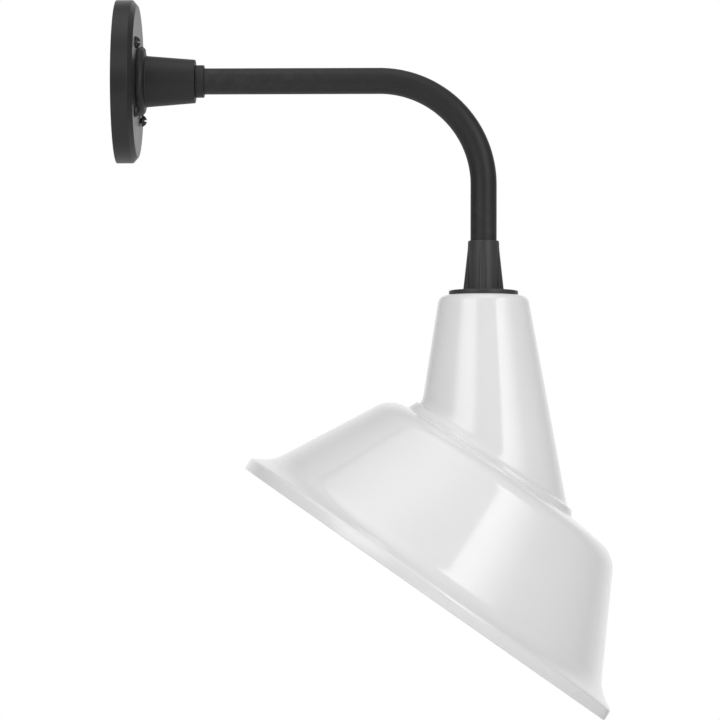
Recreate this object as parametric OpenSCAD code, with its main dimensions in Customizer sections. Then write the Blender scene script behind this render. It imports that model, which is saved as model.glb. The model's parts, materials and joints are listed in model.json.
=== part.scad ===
// Wall light on a bent pipe arm: a round wall canopy, a quarter-bend arm, a ribbed fitter
// and a deep dish shade that hangs tilted on a long neck.
// The origin is the centre of the canopy's back, on the wall. +X leaves the wall and +Z is up.

/* [Wall canopy] */
// Diameter of the canopy
canopy_d = 133; // [126:1:150]
// Depth of the canopy from the wall to its face
canopy_depth = 17.5; // [17:0.5:24]
// Thickness of the canopy's face
canopy_face_t = 3; // [2:0.25:3.5]
// Width of the rim that meets the wall
canopy_rim_w = 4.5; // [4:0.25:6]
// Depth of the bevel round the face
canopy_bevel_h = 4; // [2:0.25:4.5]
// Width of the bevel round the face
canopy_bevel_w = 4.75; // [3:0.25:6]
// Width of the gasket in the rim
gasket_w = 2.4; // [1.5:0.1:3]
// Thickness of the gasket in the rim
gasket_t = 1.5; // [1:0.1:2]

/* [Canopy screws] */
// Diameter of the circle of the four canopy screws
screw_circle_d = 80; // [76:1:86]
// Angle of the lower far screw from straight down
screw_turn = 42; // [35:1:60]
// Diameter of the canopy screws
screw_d = 4.8; // [4:0.1:5.5]
// Diameter of their round heads
screw_head_d = 10; // [8:0.5:11]
// Height of their round heads
screw_head_h = 4.2; // [3:0.1:4.5]
// How far the lower far screw stands out of its seat
slack_screw_gap = 1; // [0:0.1:2]

/* [Mounting plate] */
// Diameter of the mounting plate
plate_d = 104; // [98:1:112]
// Diameter of its wire opening
plate_hole_d = 46; // [36:1:50]
// Thickness of the mounting plate
plate_t = 2; // [1.5:0.25:2.25]
// Distance between the middles of the two box slots
slot_spacing = 79; // [74:1:84]
// Length of a box slot from end to end
slot_len = 16; // [10:0.5:18]
// Width of a box slot
slot_w = 5; // [4:0.25:6]
// Distance of the ground screw below the middle
ground_drop = 38; // [34:1:42]
// Diameter of the ground screw
ground_screw_d = 3.8; // [3:0.1:4.2]

/* [Wall hub] */
// Diameter of the hub's flange
hub_flange_d = 56; // [50:0.5:60]
// Thickness of the hub's flange
hub_flange_t = 6.3; // [5:0.1:8]
// Diameter of the hub's cone at the flange
hub_base_d = 42; // [38:0.5:46]
// Diameter of the hub's nose
hub_nose_d = 35.4; // [30:0.2:38]
// Length of the hub from the canopy's face to its nose
hub_len = 46.9; // [35:0.1:60]
// Diameter of the arm collar
collar_d = 26.6; // [25:0.2:30]
// Length of the arm collar
collar_len = 7.2; // [4:0.2:12]
// Diameter of the hub's set screw
hub_screw_d = 5; // [4:0.5:6]

/* [Arm] */
// Outer diameter of the pipe
pipe_d = 21.3; // [20.5:0.1:22]
// Wall of the pipe
pipe_wall = 2.2; // [1.6:0.1:2.8]
// Distance from the wall to the pipe's vertical end
arm_reach = 299.1; // [240:1:420]
// Radius of the bend, to the pipe's middle
bend_r = 85; // [70:1:100]
// Height from the fitter's top to the arm's middle line
arm_drop = 130.6; // [115:0.2:200]
// Depth of the pipe inside the fitter
pipe_insert = 30; // [24:1:31]
// Thickness of the arm's locknut
arm_nut_t = 5; // [4:0.25:5.5]
// Distance across the flats of the arm's locknut
arm_nut_af = 29; // [27:0.5:32]
// Thickness of the arm's washer
arm_washer_t = 1.2; // [0.8:0.1:1.5]
// Diameter of the arm's washer
arm_washer_d = 36; // [33:1:40]

/* [Wiring] */
// Diameter of the sleeved cable in the pipe
cable_d = 6.8; // [6:0.1:7.4]
// Diameter of one lead
lead_d = 2.4; // [1.8:0.1:2.6]
// Thickness of a pipe bushing's lip
bushing_lip = 1.3; // [1:0.1:1.5]
// Length of a pipe bushing inside the pipe
bushing_len = 9; // [6:1:14]
// Length of a wire connector
connector_len = 19; // [16:0.5:20]
// Diameter of a wire connector at its mouth
connector_d = 9.6; // [8:0.2:10]

/* [Fitter] */
// Length of the fitter
fitter_len = 44.3; // [43:0.1:60]
// Diameter of the fitter's top collar
fitter_collar_d = 25; // [24:0.1:27]
// Length of the fitter's top collar
fitter_collar_len = 5.8; // [3:0.2:9]
// Thickness of a rib
rib_t = 4.6; // [3:0.1:6]
// Width over the ribs at their foot
rib_foot_d = 32.6; // [30:0.1:36]
// Diameter of the low boss under the ribs
fitter_boss_d = 34.4; // [33:0.1:40]
// Height of that boss
fitter_boss_h = 0.7; // [0.5:0.1:2]
// Diameter of the fitter's flange
fitter_flange_d = 56.2; // [50:0.2:60]
// Thickness of the fitter's flange
fitter_flange_t = 3.7; // [3:0.1:5]
// Diameter of the fitter's set screw
fitter_screw_d = 4; // [3:0.5:5]
// Height of the set screw below the fitter's top
fitter_screw_drop = 19; // [15:0.5:23]

/* [Shade neck] */
// Diameter of the neck's top if its edge were sharp
neck_top_d = 72.2; // [68:0.2:80]
// Angle between the neck's side and its middle line
neck_angle = 9.7; // [7:0.1:12]
// Radius of the neck's top edge
neck_edge_r = 7; // [4:0.5:9]
// Thickness of the shade's sheet metal
shade_wall = 1.2; // [0.9:0.1:1.6]

/* [Shade dish] */
// Diameter of the rim
rim_d = 355.6; // [340:0.2:380]
// Tilt of the dish
tilt = 35; // [30:0.5:38]
// Distance of the rim's middle from the neck's middle line, towards the wall
dish_offset = 47.8; // [42:0.2:54]
// Height from the rim's middle to the neck's top
dish_drop = 242.6; // [236:0.2:250]
// Height of the turned-down rim band
rim_band_h = 10; // [7:0.5:13]
// Width of the flare inside the rim band
flare_w = 15.7; // [12:0.1:20]
// Slope of the flare
flare_angle = 28; // [22:1:32]
// Angle between the dish's flank and its axis
flank_angle = 28.2; // [26:0.1:30]
// Height of the dish's shoulder over the rim
shoulder_h = 114; // [110:0.5:118]
// Radius of the shoulder
shoulder_r = 26; // [18:1:32]
// Slope of the crown's outer band, inside the shoulder
crown_angle = 8.2; // [6:0.1:11]
// Width of the crown's outer band
crown_band_w = 34.8; // [30:0.2:40]
// Slope of the crown inside that band
crown_top_angle = 0.8; // [0.2:0.1:3]
// Height of the raised collar over the crown
dish_collar_h = 5.5; // [3:0.25:7]
// Width of the raised collar's ledge round the neck
dish_collar_w = 4.5; // [3:0.25:6]

/* [Lampholder] */
// Outer diameter of the nipple
nipple_d = 13.5; // [12.5:0.1:14]
// Inner diameter of the nipple
nipple_bore = 9.2; // [8.6:0.1:9.8]
// Depth of the nipple inside the fitter
nipple_insert = 9; // [6:0.5:9]
// Thickness of the nipple's washer
nipple_washer_t = 1.5; // [1:0.1:2]
// Diameter of the nipple's washer
nipple_washer_d = 34; // [28:1:40]
// Thickness of the nipple's locknut
nipple_nut_t = 4; // [3:0.25:5]
// Distance across the flats of the nipple's locknut
nipple_nut_af = 19; // [17:0.5:22]
// Thickness of the lampholder bracket
bracket_t = 1.6; // [1.2:0.1:2]
// Height of the lampholder bracket
bracket_h = 18; // [16:0.5:24]
// Width of the lampholder bracket
bracket_w = 17; // [15:0.5:20]
// Length of the lampholder bracket
bracket_len = 40; // [37:0.5:44]
// Distance between the two lampholder screws
holder_screw_spacing = 27; // [25:0.5:29]
// Diameter of the lampholder screws
holder_screw_d = 3.4; // [3:0.1:4]
// Height of the lampholder
holder_h = 49; // [46:0.5:60]
// Diameter of the lampholder's head
holder_head_d = 44; // [40:0.5:50]
// Diameter of the lampholder's skirt
holder_skirt_d = 39; // [36:0.5:42]
// Diameter of the lampholder's cavity
holder_cavity_d = 30.4; // [29.5:0.2:31.5]
// Depth of the lampholder's cavity
holder_cavity_h = 30; // [29:0.5:32]
// Wall of the screw shell
shell_wall = 0.5; // [0.3:0.1:0.7]

/* [Bulb] */
// Diameter of the bulb's cap
cap_d = 26.1; // [25.9:0.1:26.3]
// Length of the bulb's cap from its contact to its rim
cap_len = 26; // [25:0.5:28]
// Diameter of the bulb's glass
bulb_d = 60; // [50:1:66]
// Length of the bulb from end to end
bulb_len = 108; // [100:1:120]
// Thickness of the bulb's glass
glass_t = 0.8; // [0.5:0.1:1.2]

/* [Hidden] */
$fn = 96;

// Clearances
fit = 0.05;         // between the pipe and the fitter that turns on it
ease = 0.15;        // between fixed pieces that slide together
gap = 0.3;          // between pieces that move past each other
bulb_gap = 0.35;    // between the bulb's cap and the screw shell

// Small edge radii and details
edge_r = 0.8;
fine_r = 0.5;
over = 1;           // how far a cutting shape runs past what it cuts

// Colours
dark_metal = "#2d2d2e";
fitter_metal = "#3a3b3c";
black_steel = "#1d1d1e";
white_enamel = "#eeeeec";
zinc = "#b4b6b8";
brass = "#c2a05a";

// Wall side, along X
canopy_r = canopy_d / 2;
canopy_inner_x = canopy_depth - canopy_face_t;
screw_turns = [for (i = [0 : 3]) screw_turn + 90 * i];
slot_turn = 50;     // turn of each screw's slot from the line to the canopy's middle
pipe_r = pipe_d / 2;
pipe_bore_r = pipe_r - pipe_wall;
hub_bore_r = pipe_r + ease;
hub_nose_x = canopy_depth + hub_len;
arm_washer_x = canopy_inner_x - arm_washer_t;
arm_nut_x = arm_washer_x - arm_nut_t;
pipe_tail_x = arm_nut_x - 1;
bushing_x = pipe_tail_x - bushing_lip;
cable_x = bushing_x - 0.8;              // the cable's end stands out of its bushing
lead_r = lead_d / 2;
lead_x = plate_t + lead_r + 0.5;        // the leads run over the plate
hub_groove_in = hub_base_d / 2 + 1.5;
hub_groove_out = hub_base_d / 2 + 4;
hub_gasket_t = 1.2;

// Wire connectors, and the depth of the hole for the lead
connector_x = (canopy_inner_x + plate_t) / 2;
connector_z = 37;
connector_y = 9;
connector_hole = 5.5;

// Ground terminal: a ring under the screw, a tongue and a barrel round the lead
ground_head_d = 8;
ground_head_h = 2.6;
terminal_t = 0.8;
terminal_ring_r = 4.6;
terminal_reach = 9;                     // from the screw's middle to the barrel's mouth
tongue_w = 3;
tongue_len = 5.2;
barrel_len = 4;
barrel_wall = 0.7;
ground_lead_x = plate_t + terminal_t + lead_r;

// Fitter and shade, along Z
fitter_z = -arm_drop;
pipe_end_z = fitter_z - pipe_insert;
fitter_bore_depth = pipe_insert + bushing_lip + gap;
flange_top = -(fitter_len - fitter_flange_t);
rib_foot = flange_top + fitter_boss_h;
fitter_gasket_in = 32;
fitter_gasket_out = 48;
fitter_recess = 1;
fitter_screw_reach = fitter_collar_d / 2 + 2.5;
seat_gap = 0.2;
neck_z = fitter_z - fitter_len - seat_gap;
neck_r = neck_top_d / 2;
nipple_hole_r = nipple_d / 2 + ease;

// Dish, measured from the rim's middle along its tilted axis
rim_x = arm_reach - dish_offset;
rim_z = neck_z - dish_drop;
rim_r = rim_d / 2;
rim_edge_r = 3.5;
flare_corner = [rim_r - flare_w, rim_band_h + flare_w * tan(flare_angle)];
flare_r = 35;
shoulder_corner = [flare_corner[0] - (shoulder_h - flare_corner[1]) * tan(flank_angle), shoulder_h];
crown_knee_r = shoulder_corner[0] - crown_band_w;
crown_knee = [crown_knee_r, shoulder_h + (shoulder_corner[0] - crown_knee_r) * tan(crown_angle)];
crown_start_r = 30;
crown_start = [crown_start_r, crown_knee[1] + (crown_knee_r - crown_start_r) * tan(crown_top_angle)];
crown_r = 250;
seam_h = crown_knee[1] + dish_collar_h;
dish_collar_root = 16;
far = 2 * rim_d;

// Lampholder stack, under the neck's top
washer_z = neck_z - shade_wall;
bracket_z = washer_z - nipple_washer_t;
nipple_nut_z = bracket_z - bracket_t;
nipple_end_z = nipple_nut_z - nipple_nut_t - 2;
shade_cable_z = nipple_end_z - 1.5;
holder_z = bracket_z - bracket_h;
foot_z = holder_z + bracket_t;
foot_gap = 16;
holder_head_h = 13;
holder_step_h = 3.5;
holder_screw_in = 9;
cavity_top = -(holder_h - holder_cavity_h);
contact_h = 2.5;
contact_r = 4.2;
shell_r = cap_d / 2 + bulb_gap;
shell_h = holder_cavity_h - 2;
bulb_z = holder_z + cavity_top - contact_h - gap;
lead_hole_r = lead_r + ease;
lead_hole_depth = 6;
lead_spread = 7;

// Bulb, from its contact's tip down
tip_h = 1.6;
tip_r = 4.6;
tip_ball_r = 8;
insulator_r = 5.4;
cap_top = -5.2;
cap_shoulder = -8.2;
cap_taper = 2.6;
cap_sheet = 0.4;

// Direction of a vector
function unit(v) = v / norm(v);

// Right-hand normal of the line from a to b
function side(a, b) = let (d = unit(b - a)) [d[1], -d[0]];

// Arc of radius r in the corner b of the lines from a and to c
function corner(a, b, c, r, steps) =
    let (
        u = unit(a - b),
        v = unit(c - b),
        half = acos(u * v) / 2,
        centre = b + unit(u + v) * r / sin(half),
        start = b + u * r / tan(half) - centre,
        turn = (180 - 2 * half) * sign(cross(b - a, c - b))
    )
    [for (i = [0 : steps])
        let (t = turn * i / steps)
        centre + [start[0] * cos(t) - start[1] * sin(t), start[0] * sin(t) + start[1] * cos(t)]];

// Outline through points, each rounded by its own radius
function rounded(points, radii, steps = 6) =
    let (n = len(points))
    [for (i = [0 : n - 1])
        each radii[i] == 0
            ? [points[i]]
            : corner(points[(i + n - 1) % n], points[i], points[(i + 1) % n], radii[i], steps)];

// Outline moved by t to its right-hand side
function inset(path, t) =
    let (last = len(path) - 1)
    [for (i = [0 : last])
        let (
            a = side(path[max(i - 1, 0)], path[max(i, 1)]),
            b = side(path[min(i, last - 1)], path[min(i + 1, last)]),
            m = unit(a + b),
            p = path[i] + m * t / (a * m)
        )
        [max(p[0], 0), p[1]]];

// Section of a wall of thickness t along an outline
function wall(path, t) =
    let (inner = inset(path, t))
    concat(path, [for (i = [len(path) - 1 : -1 : 0]) inner[i]]);

// Smooth line through hand-chosen points
function smooth(p, steps = 4) =
    let (last = len(p) - 1)
    concat(
        [for (i = [0 : last - 1], k = [0 : steps - 1])
            let (
                t = k / steps,
                a = p[max(i - 1, 0)],
                b = p[i],
                c = p[i + 1],
                d = p[min(i + 2, last)]
            )
            0.5 * (2 * b + (c - a) * t + (2 * a - 5 * b + 4 * c - d) * t * t
                + (3 * b - a - 3 * c + d) * t * t * t)],
        [p[last]]);

// Wire of radius r along a line, as one closed tube
module wire(line, r, sides = 8) {
    last = len(line) - 1;
    tangents = [for (i = [0 : last]) unit(line[min(i + 1, last)] - line[max(i - 1, 0)])];
    seed = abs(tangents[0][1]) < 0.9 ? [0, 1, 0] : [1, 0, 0];
    normals = [for (
        i = 0, n = unit(seed - tangents[0] * (seed * tangents[0]));
        i <= last;
        i = i + 1, n = i > last ? n : unit(n - tangents[i] * (n * tangents[i]))
    ) n];
    points = [for (i = [0 : last], k = [0 : sides - 1])
        let (a = 360 * k / sides)
        line[i] + r * (cos(a) * normals[i] + sin(a) * cross(tangents[i], normals[i]))];
    faces = concat(
        [[for (k = [0 : sides - 1]) k]],
        [for (i = [0 : last - 1], k = [0 : sides - 1])
            each [
                [i * sides + k, (i + 1) * sides + k, i * sides + (k + 1) % sides],
                [i * sides + (k + 1) % sides, (i + 1) * sides + k, (i + 1) * sides + (k + 1) % sides]
            ]],
        [[for (k = [sides - 1 : -1 : 0]) last * sides + k]]);
    polyhedron(points, faces);
}

// Places a shape with its own Z along the arm's straight part
module off_wall(x = 0) {
    translate([x, 0, 0]) rotate([0, 90, 0]) children();
}

// Places a shape on the vertical pipe's middle line
module on_drop(z = 0) {
    translate([arm_reach, 0, z]) children();
}

// Places a shape in the tilted frame of the rim
module on_rim(h = 0) {
    translate([rim_x, 0, rim_z]) rotate([0, tilt, 0]) translate([0, 0, h]) children();
}

// Places copies at the four canopy screws
module at_canopy_screws() {
    for (a = screw_turns) rotate([0, 0, a]) translate([screw_circle_d / 2, 0, 0]) children();
}

module ring(outer_r, inner_r, h) {
    difference() {
        cylinder(r = outer_r, h = h);
        translate([0, 0, -over]) cylinder(r = inner_r, h = h + 2 * over);
    }
}

// Six-sided nut with a round hole
module hex_nut(af, hole_r, h) {
    difference() {
        cylinder(r = af / sqrt(3), h = h, $fn = 6);
        translate([0, 0, -over]) cylinder(r = hole_r, h = h + 2 * over);
    }
}

// Round head with a slot right across it and a shorter slot across that, seated at z = 0
module round_head(d, h) {
    ball_r = (d * d / 4 + h * h) / (2 * h);
    edge_angle = asin(min(d / 2 / ball_r, 1));
    steps = 6;
    recess = 0.5 * h;
    slot = 0.14 * d;
    dome = [for (i = [0 : steps])
        let (a = edge_angle * (1 - i / steps))
        [ball_r * sin(a), h - ball_r + ball_r * cos(a)]];
    difference() {
        rotate_extrude() polygon(concat([[0, 0]], dome));
        for (cut = [[0, d + 2 * over], [90, 0.62 * d]])
            rotate([0, 0, cut[0]])
                translate([-cut[1] / 2, -slot / 2, h - recess]) cube([cut[1], slot, recess + over]);
    }
}

// Flat-ended set screw along +X from x = 0, with a six-sided socket
module set_screw(d, len) {
    rotate([0, 90, 0])
        difference() {
            cylinder(d = d, h = len);
            translate([0, 0, len - 0.5 * d]) cylinder(d = 0.55 * d, h = d, $fn = 6);
        }
}

// Solid line of the arm, from x0 at the wall to z1 at the fitter
module arm_line(r, x0, z1) {
    off_wall(x0) cylinder(r = r, h = arm_reach - bend_r - x0);
    translate([arm_reach - bend_r, 0, -bend_r])
        rotate([90, 0, 0])
            rotate_extrude(angle = 90) translate([bend_r, 0]) circle(r = r);
    on_drop(z1) cylinder(r = r, h = -bend_r - z1);
}

// Bushing that lines a pipe's end: the lip is below z = 0 and the sleeve above
module pipe_bushing() {
    difference() {
        union() {
            translate([0, 0, -bushing_lip]) cylinder(r = pipe_r - fine_r, h = bushing_lip);
            cylinder(r = pipe_bore_r - ease, h = bushing_len);
        }
        translate([0, 0, -bushing_lip - over])
            cylinder(r = cable_d / 2 + ease, h = bushing_len + bushing_lip + 2 * over);
    }
}

// Wall gasket, flush with the canopy's back
module wall_gasket() {
    middle = canopy_r - canopy_rim_w / 2;
    color("#26221f")
        off_wall() ring(middle + gasket_w / 2, middle - gasket_w / 2, gasket_t);
}

module mounting_plate() {
    slot_run = slot_len - slot_w;
    through = plate_t + 2 * over;
    color(zinc)
        off_wall()
            difference() {
                ring(plate_d / 2, plate_hole_d / 2, plate_t);
                at_canopy_screws()
                    translate([0, 0, -over]) cylinder(d = screw_d + 2 * ease, h = through);
                for (s = [-1, 1])
                    translate([0, s * slot_spacing / 2, -over]) {
                        for (e = [-1, 1]) translate([0, e * slot_run / 2, 0]) cylinder(d = slot_w, h = through);
                        translate([-slot_w / 2, -slot_run / 2, 0]) cube([slot_w, slot_run, through]);
                    }
                translate([ground_drop, 0, -over]) cylinder(d = ground_screw_d + 2 * ease, h = through);
            }
}

module ground_screw() {
    color("#3f7a4a")
        off_wall()
            translate([ground_drop, 0, 0]) {
                cylinder(d = ground_screw_d, h = plate_t + terminal_t);
                translate([0, 0, plate_t + terminal_t]) round_head(ground_head_d, ground_head_h);
            }
}

// Ring and barrel that hold the ground lead
module ground_terminal() {
    color(zinc)
        off_wall()
            translate([ground_drop, 0, 0]) {
                translate([0, 0, plate_t]) ring(terminal_ring_r, ground_screw_d / 2 + ease, terminal_t);
                difference() {
                    union() {
                        translate([-terminal_reach, 0, ground_lead_x])
                            rotate([0, 90, 0]) cylinder(r = lead_r + barrel_wall, h = barrel_len);
                        translate([-terminal_reach, -tongue_w / 2, plate_t])
                            cube([tongue_len, tongue_w, terminal_t]);
                    }
                    translate([-terminal_reach - over, 0, ground_lead_x])
                        rotate([0, 90, 0]) cylinder(r = lead_r + ease, h = terminal_reach - over);
                }
            }
}

module canopy() {
    inner_r = canopy_r - canopy_rim_w;
    groove_r = canopy_r - canopy_rim_w / 2;
    outline = rounded(
        [
            [hub_bore_r, canopy_depth],
            [canopy_r - canopy_bevel_w, canopy_depth],
            [canopy_r, canopy_depth - canopy_bevel_h],
            [canopy_r, 0],
            [inner_r, 0],
            [inner_r, canopy_inner_x],
            [hub_bore_r, canopy_inner_x]
        ],
        [0, edge_r, edge_r, fine_r, 0, 2.5, 0]);
    color(dark_metal)
        off_wall()
            difference() {
                rotate_extrude() polygon(outline);
                translate([0, 0, -over])
                    ring(groove_r + gasket_w / 2, groove_r - gasket_w / 2, gasket_t + over);
                at_canopy_screws() cylinder(d = screw_d + 2 * ease, h = canopy_depth + over);
            }
}

// Four round-head screws; the lower far one stands a little out of its seat
module canopy_screws() {
    color(black_steel)
        off_wall()
            for (a = screw_turns)
                rotate([0, 0, a])
                    translate([screw_circle_d / 2, 0, a == screw_turn ? slack_screw_gap : 0]) {
                        translate([0, 0, fine_r]) cylinder(d = screw_d, h = canopy_depth - fine_r);
                        translate([0, 0, canopy_depth])
                            rotate([0, 0, slot_turn]) round_head(screw_head_d, screw_head_h);
                    }
}

module hub_gasket() {
    color("#26221f")
        off_wall(canopy_depth) ring(hub_groove_out, hub_groove_in, hub_gasket_t);
}

module wall_hub() {
    outline = rounded(
        [
            [hub_bore_r, 0],
            [hub_flange_d / 2, 0],
            [hub_flange_d / 2, hub_flange_t],
            [hub_base_d / 2, hub_flange_t],
            [hub_nose_d / 2, hub_len],
            [hub_bore_r, hub_len]
        ],
        [0, 0, 4.6, 0.6, 0.6, 0]);
    color(dark_metal)
        off_wall(canopy_depth)
            difference() {
                rotate_extrude() polygon(outline);
                translate([0, 0, -over]) ring(hub_groove_out, hub_groove_in, hub_gasket_t + over);
                translate([0, 0, hub_len / 2])
                    rotate([0, 90, 0]) cylinder(d = hub_screw_d + 2 * ease, h = hub_base_d);
            }
}

// Set screw under the hub, which holds the arm plumb
module hub_set_screw() {
    screw_len = (hub_base_d + hub_nose_d) / 4 - pipe_r - 1.5;
    color(black_steel)
        off_wall(canopy_depth + hub_len / 2)
            translate([pipe_r + ease / 2, 0, 0]) set_screw(hub_screw_d, screw_len);
}

module arm_collar() {
    outline = rounded(
        [
            [hub_bore_r, 0],
            [collar_d / 2, 0],
            [collar_d / 2, collar_len],
            [hub_bore_r, collar_len]
        ],
        [0, fine_r, fine_r, 0]);
    color(dark_metal) off_wall(hub_nose_x) rotate_extrude() polygon(outline);
}

module arm() {
    color(dark_metal)
        difference() {
            arm_line(pipe_r, pipe_tail_x, pipe_end_z);
            arm_line(pipe_bore_r, pipe_tail_x - over, pipe_end_z - over);
        }
}

module arm_washer() {
    color(zinc) off_wall(arm_washer_x) ring(arm_washer_d / 2, hub_bore_r, arm_washer_t);
}

module arm_locknut() {
    color(zinc) off_wall(arm_nut_x) hex_nut(arm_nut_af, hub_bore_r, arm_nut_t);
}

module wall_bushing() {
    color("#d8d6cc") off_wall(pipe_tail_x) pipe_bushing();
}

module end_bushing() {
    color("#d8d6cc") on_drop(pipe_end_z) pipe_bushing();
}

// Sleeved leads on the pipe's middle line
module arm_cable() {
    color("#55534e") arm_line(cable_d / 2, cable_x, pipe_end_z - bushing_lip);
}

// Middle line of a supply lead, from the cable's end to its connector
function supply_route(s) = [
    [cable_x, s * 1.4, 0.8],
    [(cable_x + lead_x) / 2, s * 2.8, 2.6],
    [lead_x, s * 5.5, 7],
    [lead_x, s * 8.5, 16],
    [(lead_x + connector_x) / 2, s * 10, 25],
    [connector_x, s * connector_y, connector_z - 4],
    [connector_x, s * connector_y, connector_z + connector_hole - 0.5]
];

// Middle line of the ground lead, from the cable's end to its terminal
function ground_route() = [
    [cable_x, 0, -1.5],
    [(cable_x + lead_x) / 2, 0, -3.2],
    [lead_x, -1.5, -8],
    [lead_x, -3, -16],
    [ground_lead_x, -1, -(ground_drop - terminal_reach - 3)],
    [ground_lead_x, 0, -(ground_drop - terminal_reach + 0.5)],
    [ground_lead_x, 0, -(ground_drop - terminal_reach + barrel_len - 0.5)]
];

// Lead along a route, cut to the arm cable's end
module arm_lead(route) {
    difference() {
        wire(smooth(route), lead_r);
        off_wall(cable_x) cylinder(d = cable_d, h = cable_d);
    }
}

module lead_black() {
    color("#1c1c1c") arm_lead(supply_route(1));
}

module lead_white() {
    color("#e6e4de") arm_lead(supply_route(-1));
}

module lead_ground() {
    color("#3f8a4f") arm_lead(ground_route());
}

// Twist-on connectors on the two supply leads
module wire_connectors() {
    outline = rounded(
        [
            [0, connector_hole],
            [lead_r + ease, connector_hole],
            [lead_r + ease, 0],
            [connector_d / 2, 0],
            [connector_d / 2 - 0.4, connector_len / 3],
            [connector_d / 2 - 1.8, connector_len],
            [0, connector_len]
        ],
        [0, 0, 0, 0.6, 1, 1.2, 0]);
    color("#c46a2c")
        for (s = [-1, 1])
            translate([connector_x, s * connector_y, connector_z]) rotate_extrude() polygon(outline);
}

module fitter() {
    collar_r = fitter_collar_d / 2;
    boss_r = fitter_boss_d / 2;
    flange_r = fitter_flange_d / 2;
    core = rounded(
        [
            [0, 0],
            [collar_r, 0],
            [collar_r, rib_foot],
            [boss_r, rib_foot],
            [boss_r, flange_top],
            [flange_r, flange_top],
            [flange_r, -fitter_len],
            [0, -fitter_len]
        ],
        [0, fine_r, 0, 0, 0, edge_r, fine_r, 0]);
    rib = [
        [collar_r - 1.5, -fitter_collar_len],
        [collar_r, -fitter_collar_len],
        [rib_foot_d / 2, rib_foot],
        [collar_r - 1.5, rib_foot]
    ];
    color(fitter_metal)
        on_drop(fitter_z)
            difference() {
                union() {
                    rotate_extrude() polygon(core);
                    for (a = [0 : 90 : 270])
                        rotate([0, 0, a])
                            translate([0, rib_t / 2, 0])
                                rotate([90, 0, 0]) linear_extrude(height = rib_t) polygon(rib);
                    translate([0, 0, -fitter_screw_drop])
                        rotate([0, 90, 90]) cylinder(d = fitter_screw_d + 5, h = fitter_screw_reach);
                }
                translate([0, 0, -fitter_bore_depth])
                    cylinder(r = pipe_r + fit, h = fitter_bore_depth + over);
                translate([0, 0, -fitter_len - over]) cylinder(r = nipple_bore / 2, h = fitter_len);
                translate([0, 0, -fitter_len - over]) cylinder(r = nipple_hole_r, h = nipple_insert + over);
                translate([0, 0, -fitter_len - over])
                    ring(fitter_gasket_out / 2, fitter_gasket_in / 2, fitter_recess + over);
                translate([0, 0, -fitter_screw_drop])
                    rotate([0, 90, 90]) cylinder(d = fitter_screw_d + 2 * ease, h = 2 * collar_r);
            }
}

// Set screw at the fitter's far side, just clear of the pipe
module fitter_set_screw() {
    screw_tip = pipe_r + gap;
    color(black_steel)
        on_drop(fitter_z - fitter_screw_drop)
            rotate([0, 0, 90])
                translate([screw_tip, 0, 0]) set_screw(fitter_screw_d, fitter_screw_reach - screw_tip);
}

module fitter_gasket() {
    color("#26221f")
        on_drop(neck_z)
            ring(fitter_gasket_out / 2 - ease, fitter_gasket_in / 2 + ease, seat_gap + fitter_recess);
}

// Outline of the neck from its nipple hole down its side, with its top at z = 0
function neck_outline(grow = 0) = rounded(
    [
        [nipple_hole_r, grow],
        [neck_r + grow, grow],
        [neck_r + grow + rim_d * tan(neck_angle), -rim_d]
    ],
    [0, neck_edge_r + grow, 0]);

// Cone round the neck's middle line, moved out by grow
module neck_cone(grow) {
    side_shift = grow / cos(neck_angle);
    on_drop(neck_z - rim_d)
        cylinder(
            r1 = neck_r + side_shift + rim_d * tan(neck_angle),
            r2 = neck_r + side_shift,
            h = rim_d
        );
}

// Everything under the seam between neck and dish, or under a plane that lies deeper
module below_seam(depth = 0) {
    on_rim(seam_h - depth - far) translate([-far / 2, -far / 2, 0]) cube([far, far, far]);
}

module shade_neck() {
    color(white_enamel)
        difference() {
            on_drop(neck_z) rotate_extrude() polygon(wall(neck_outline(), shade_wall));
            below_seam();
        }
}

// Outline of the dish from its crown out to the rim's lower edge
function dish_outline() = rounded(
    [
        crown_start,
        crown_knee,
        shoulder_corner,
        flare_corner,
        [rim_r, rim_band_h],
        [rim_r, 0]
    ],
    [0, crown_r, shoulder_r, flare_r, rim_edge_r, 0], 7);

// Space inside the dish, closed across the rim
module dish_inside() {
    inner = inset(dish_outline(), shade_wall);
    on_rim() rotate_extrude() polygon(concat([[0, 0], [0, inner[0][1]]], inner));
}

module shade_dish() {
    color(white_enamel)
        difference() {
            union() {
                on_rim() rotate_extrude() polygon(wall(dish_outline(), shade_wall));
                difference() {
                    intersection() {
                        neck_cone(dish_collar_w);
                        on_rim(seam_h - dish_collar_root)
                            translate([-rim_r, -rim_r, 0]) cube([rim_d, rim_d, dish_collar_root]);
                    }
                    dish_inside();
                }
            }
            neck_cone(-shade_wall);
            intersection() {
                neck_cone(dish_collar_w - shade_wall);
                below_seam(shade_wall);
            }
        }
}

module nipple() {
    bottom = nipple_end_z;
    top = fitter_z - fitter_len + nipple_insert - gap;
    color(brass) on_drop(bottom) ring(nipple_d / 2, nipple_bore / 2, top - bottom);
}

module nipple_washer() {
    color(zinc) on_drop(bracket_z) ring(nipple_washer_d / 2, nipple_hole_r, nipple_washer_t);
}

module nipple_locknut() {
    color(zinc) on_drop(nipple_nut_z - nipple_nut_t) hex_nut(nipple_nut_af, nipple_hole_r, nipple_nut_t);
}

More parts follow.
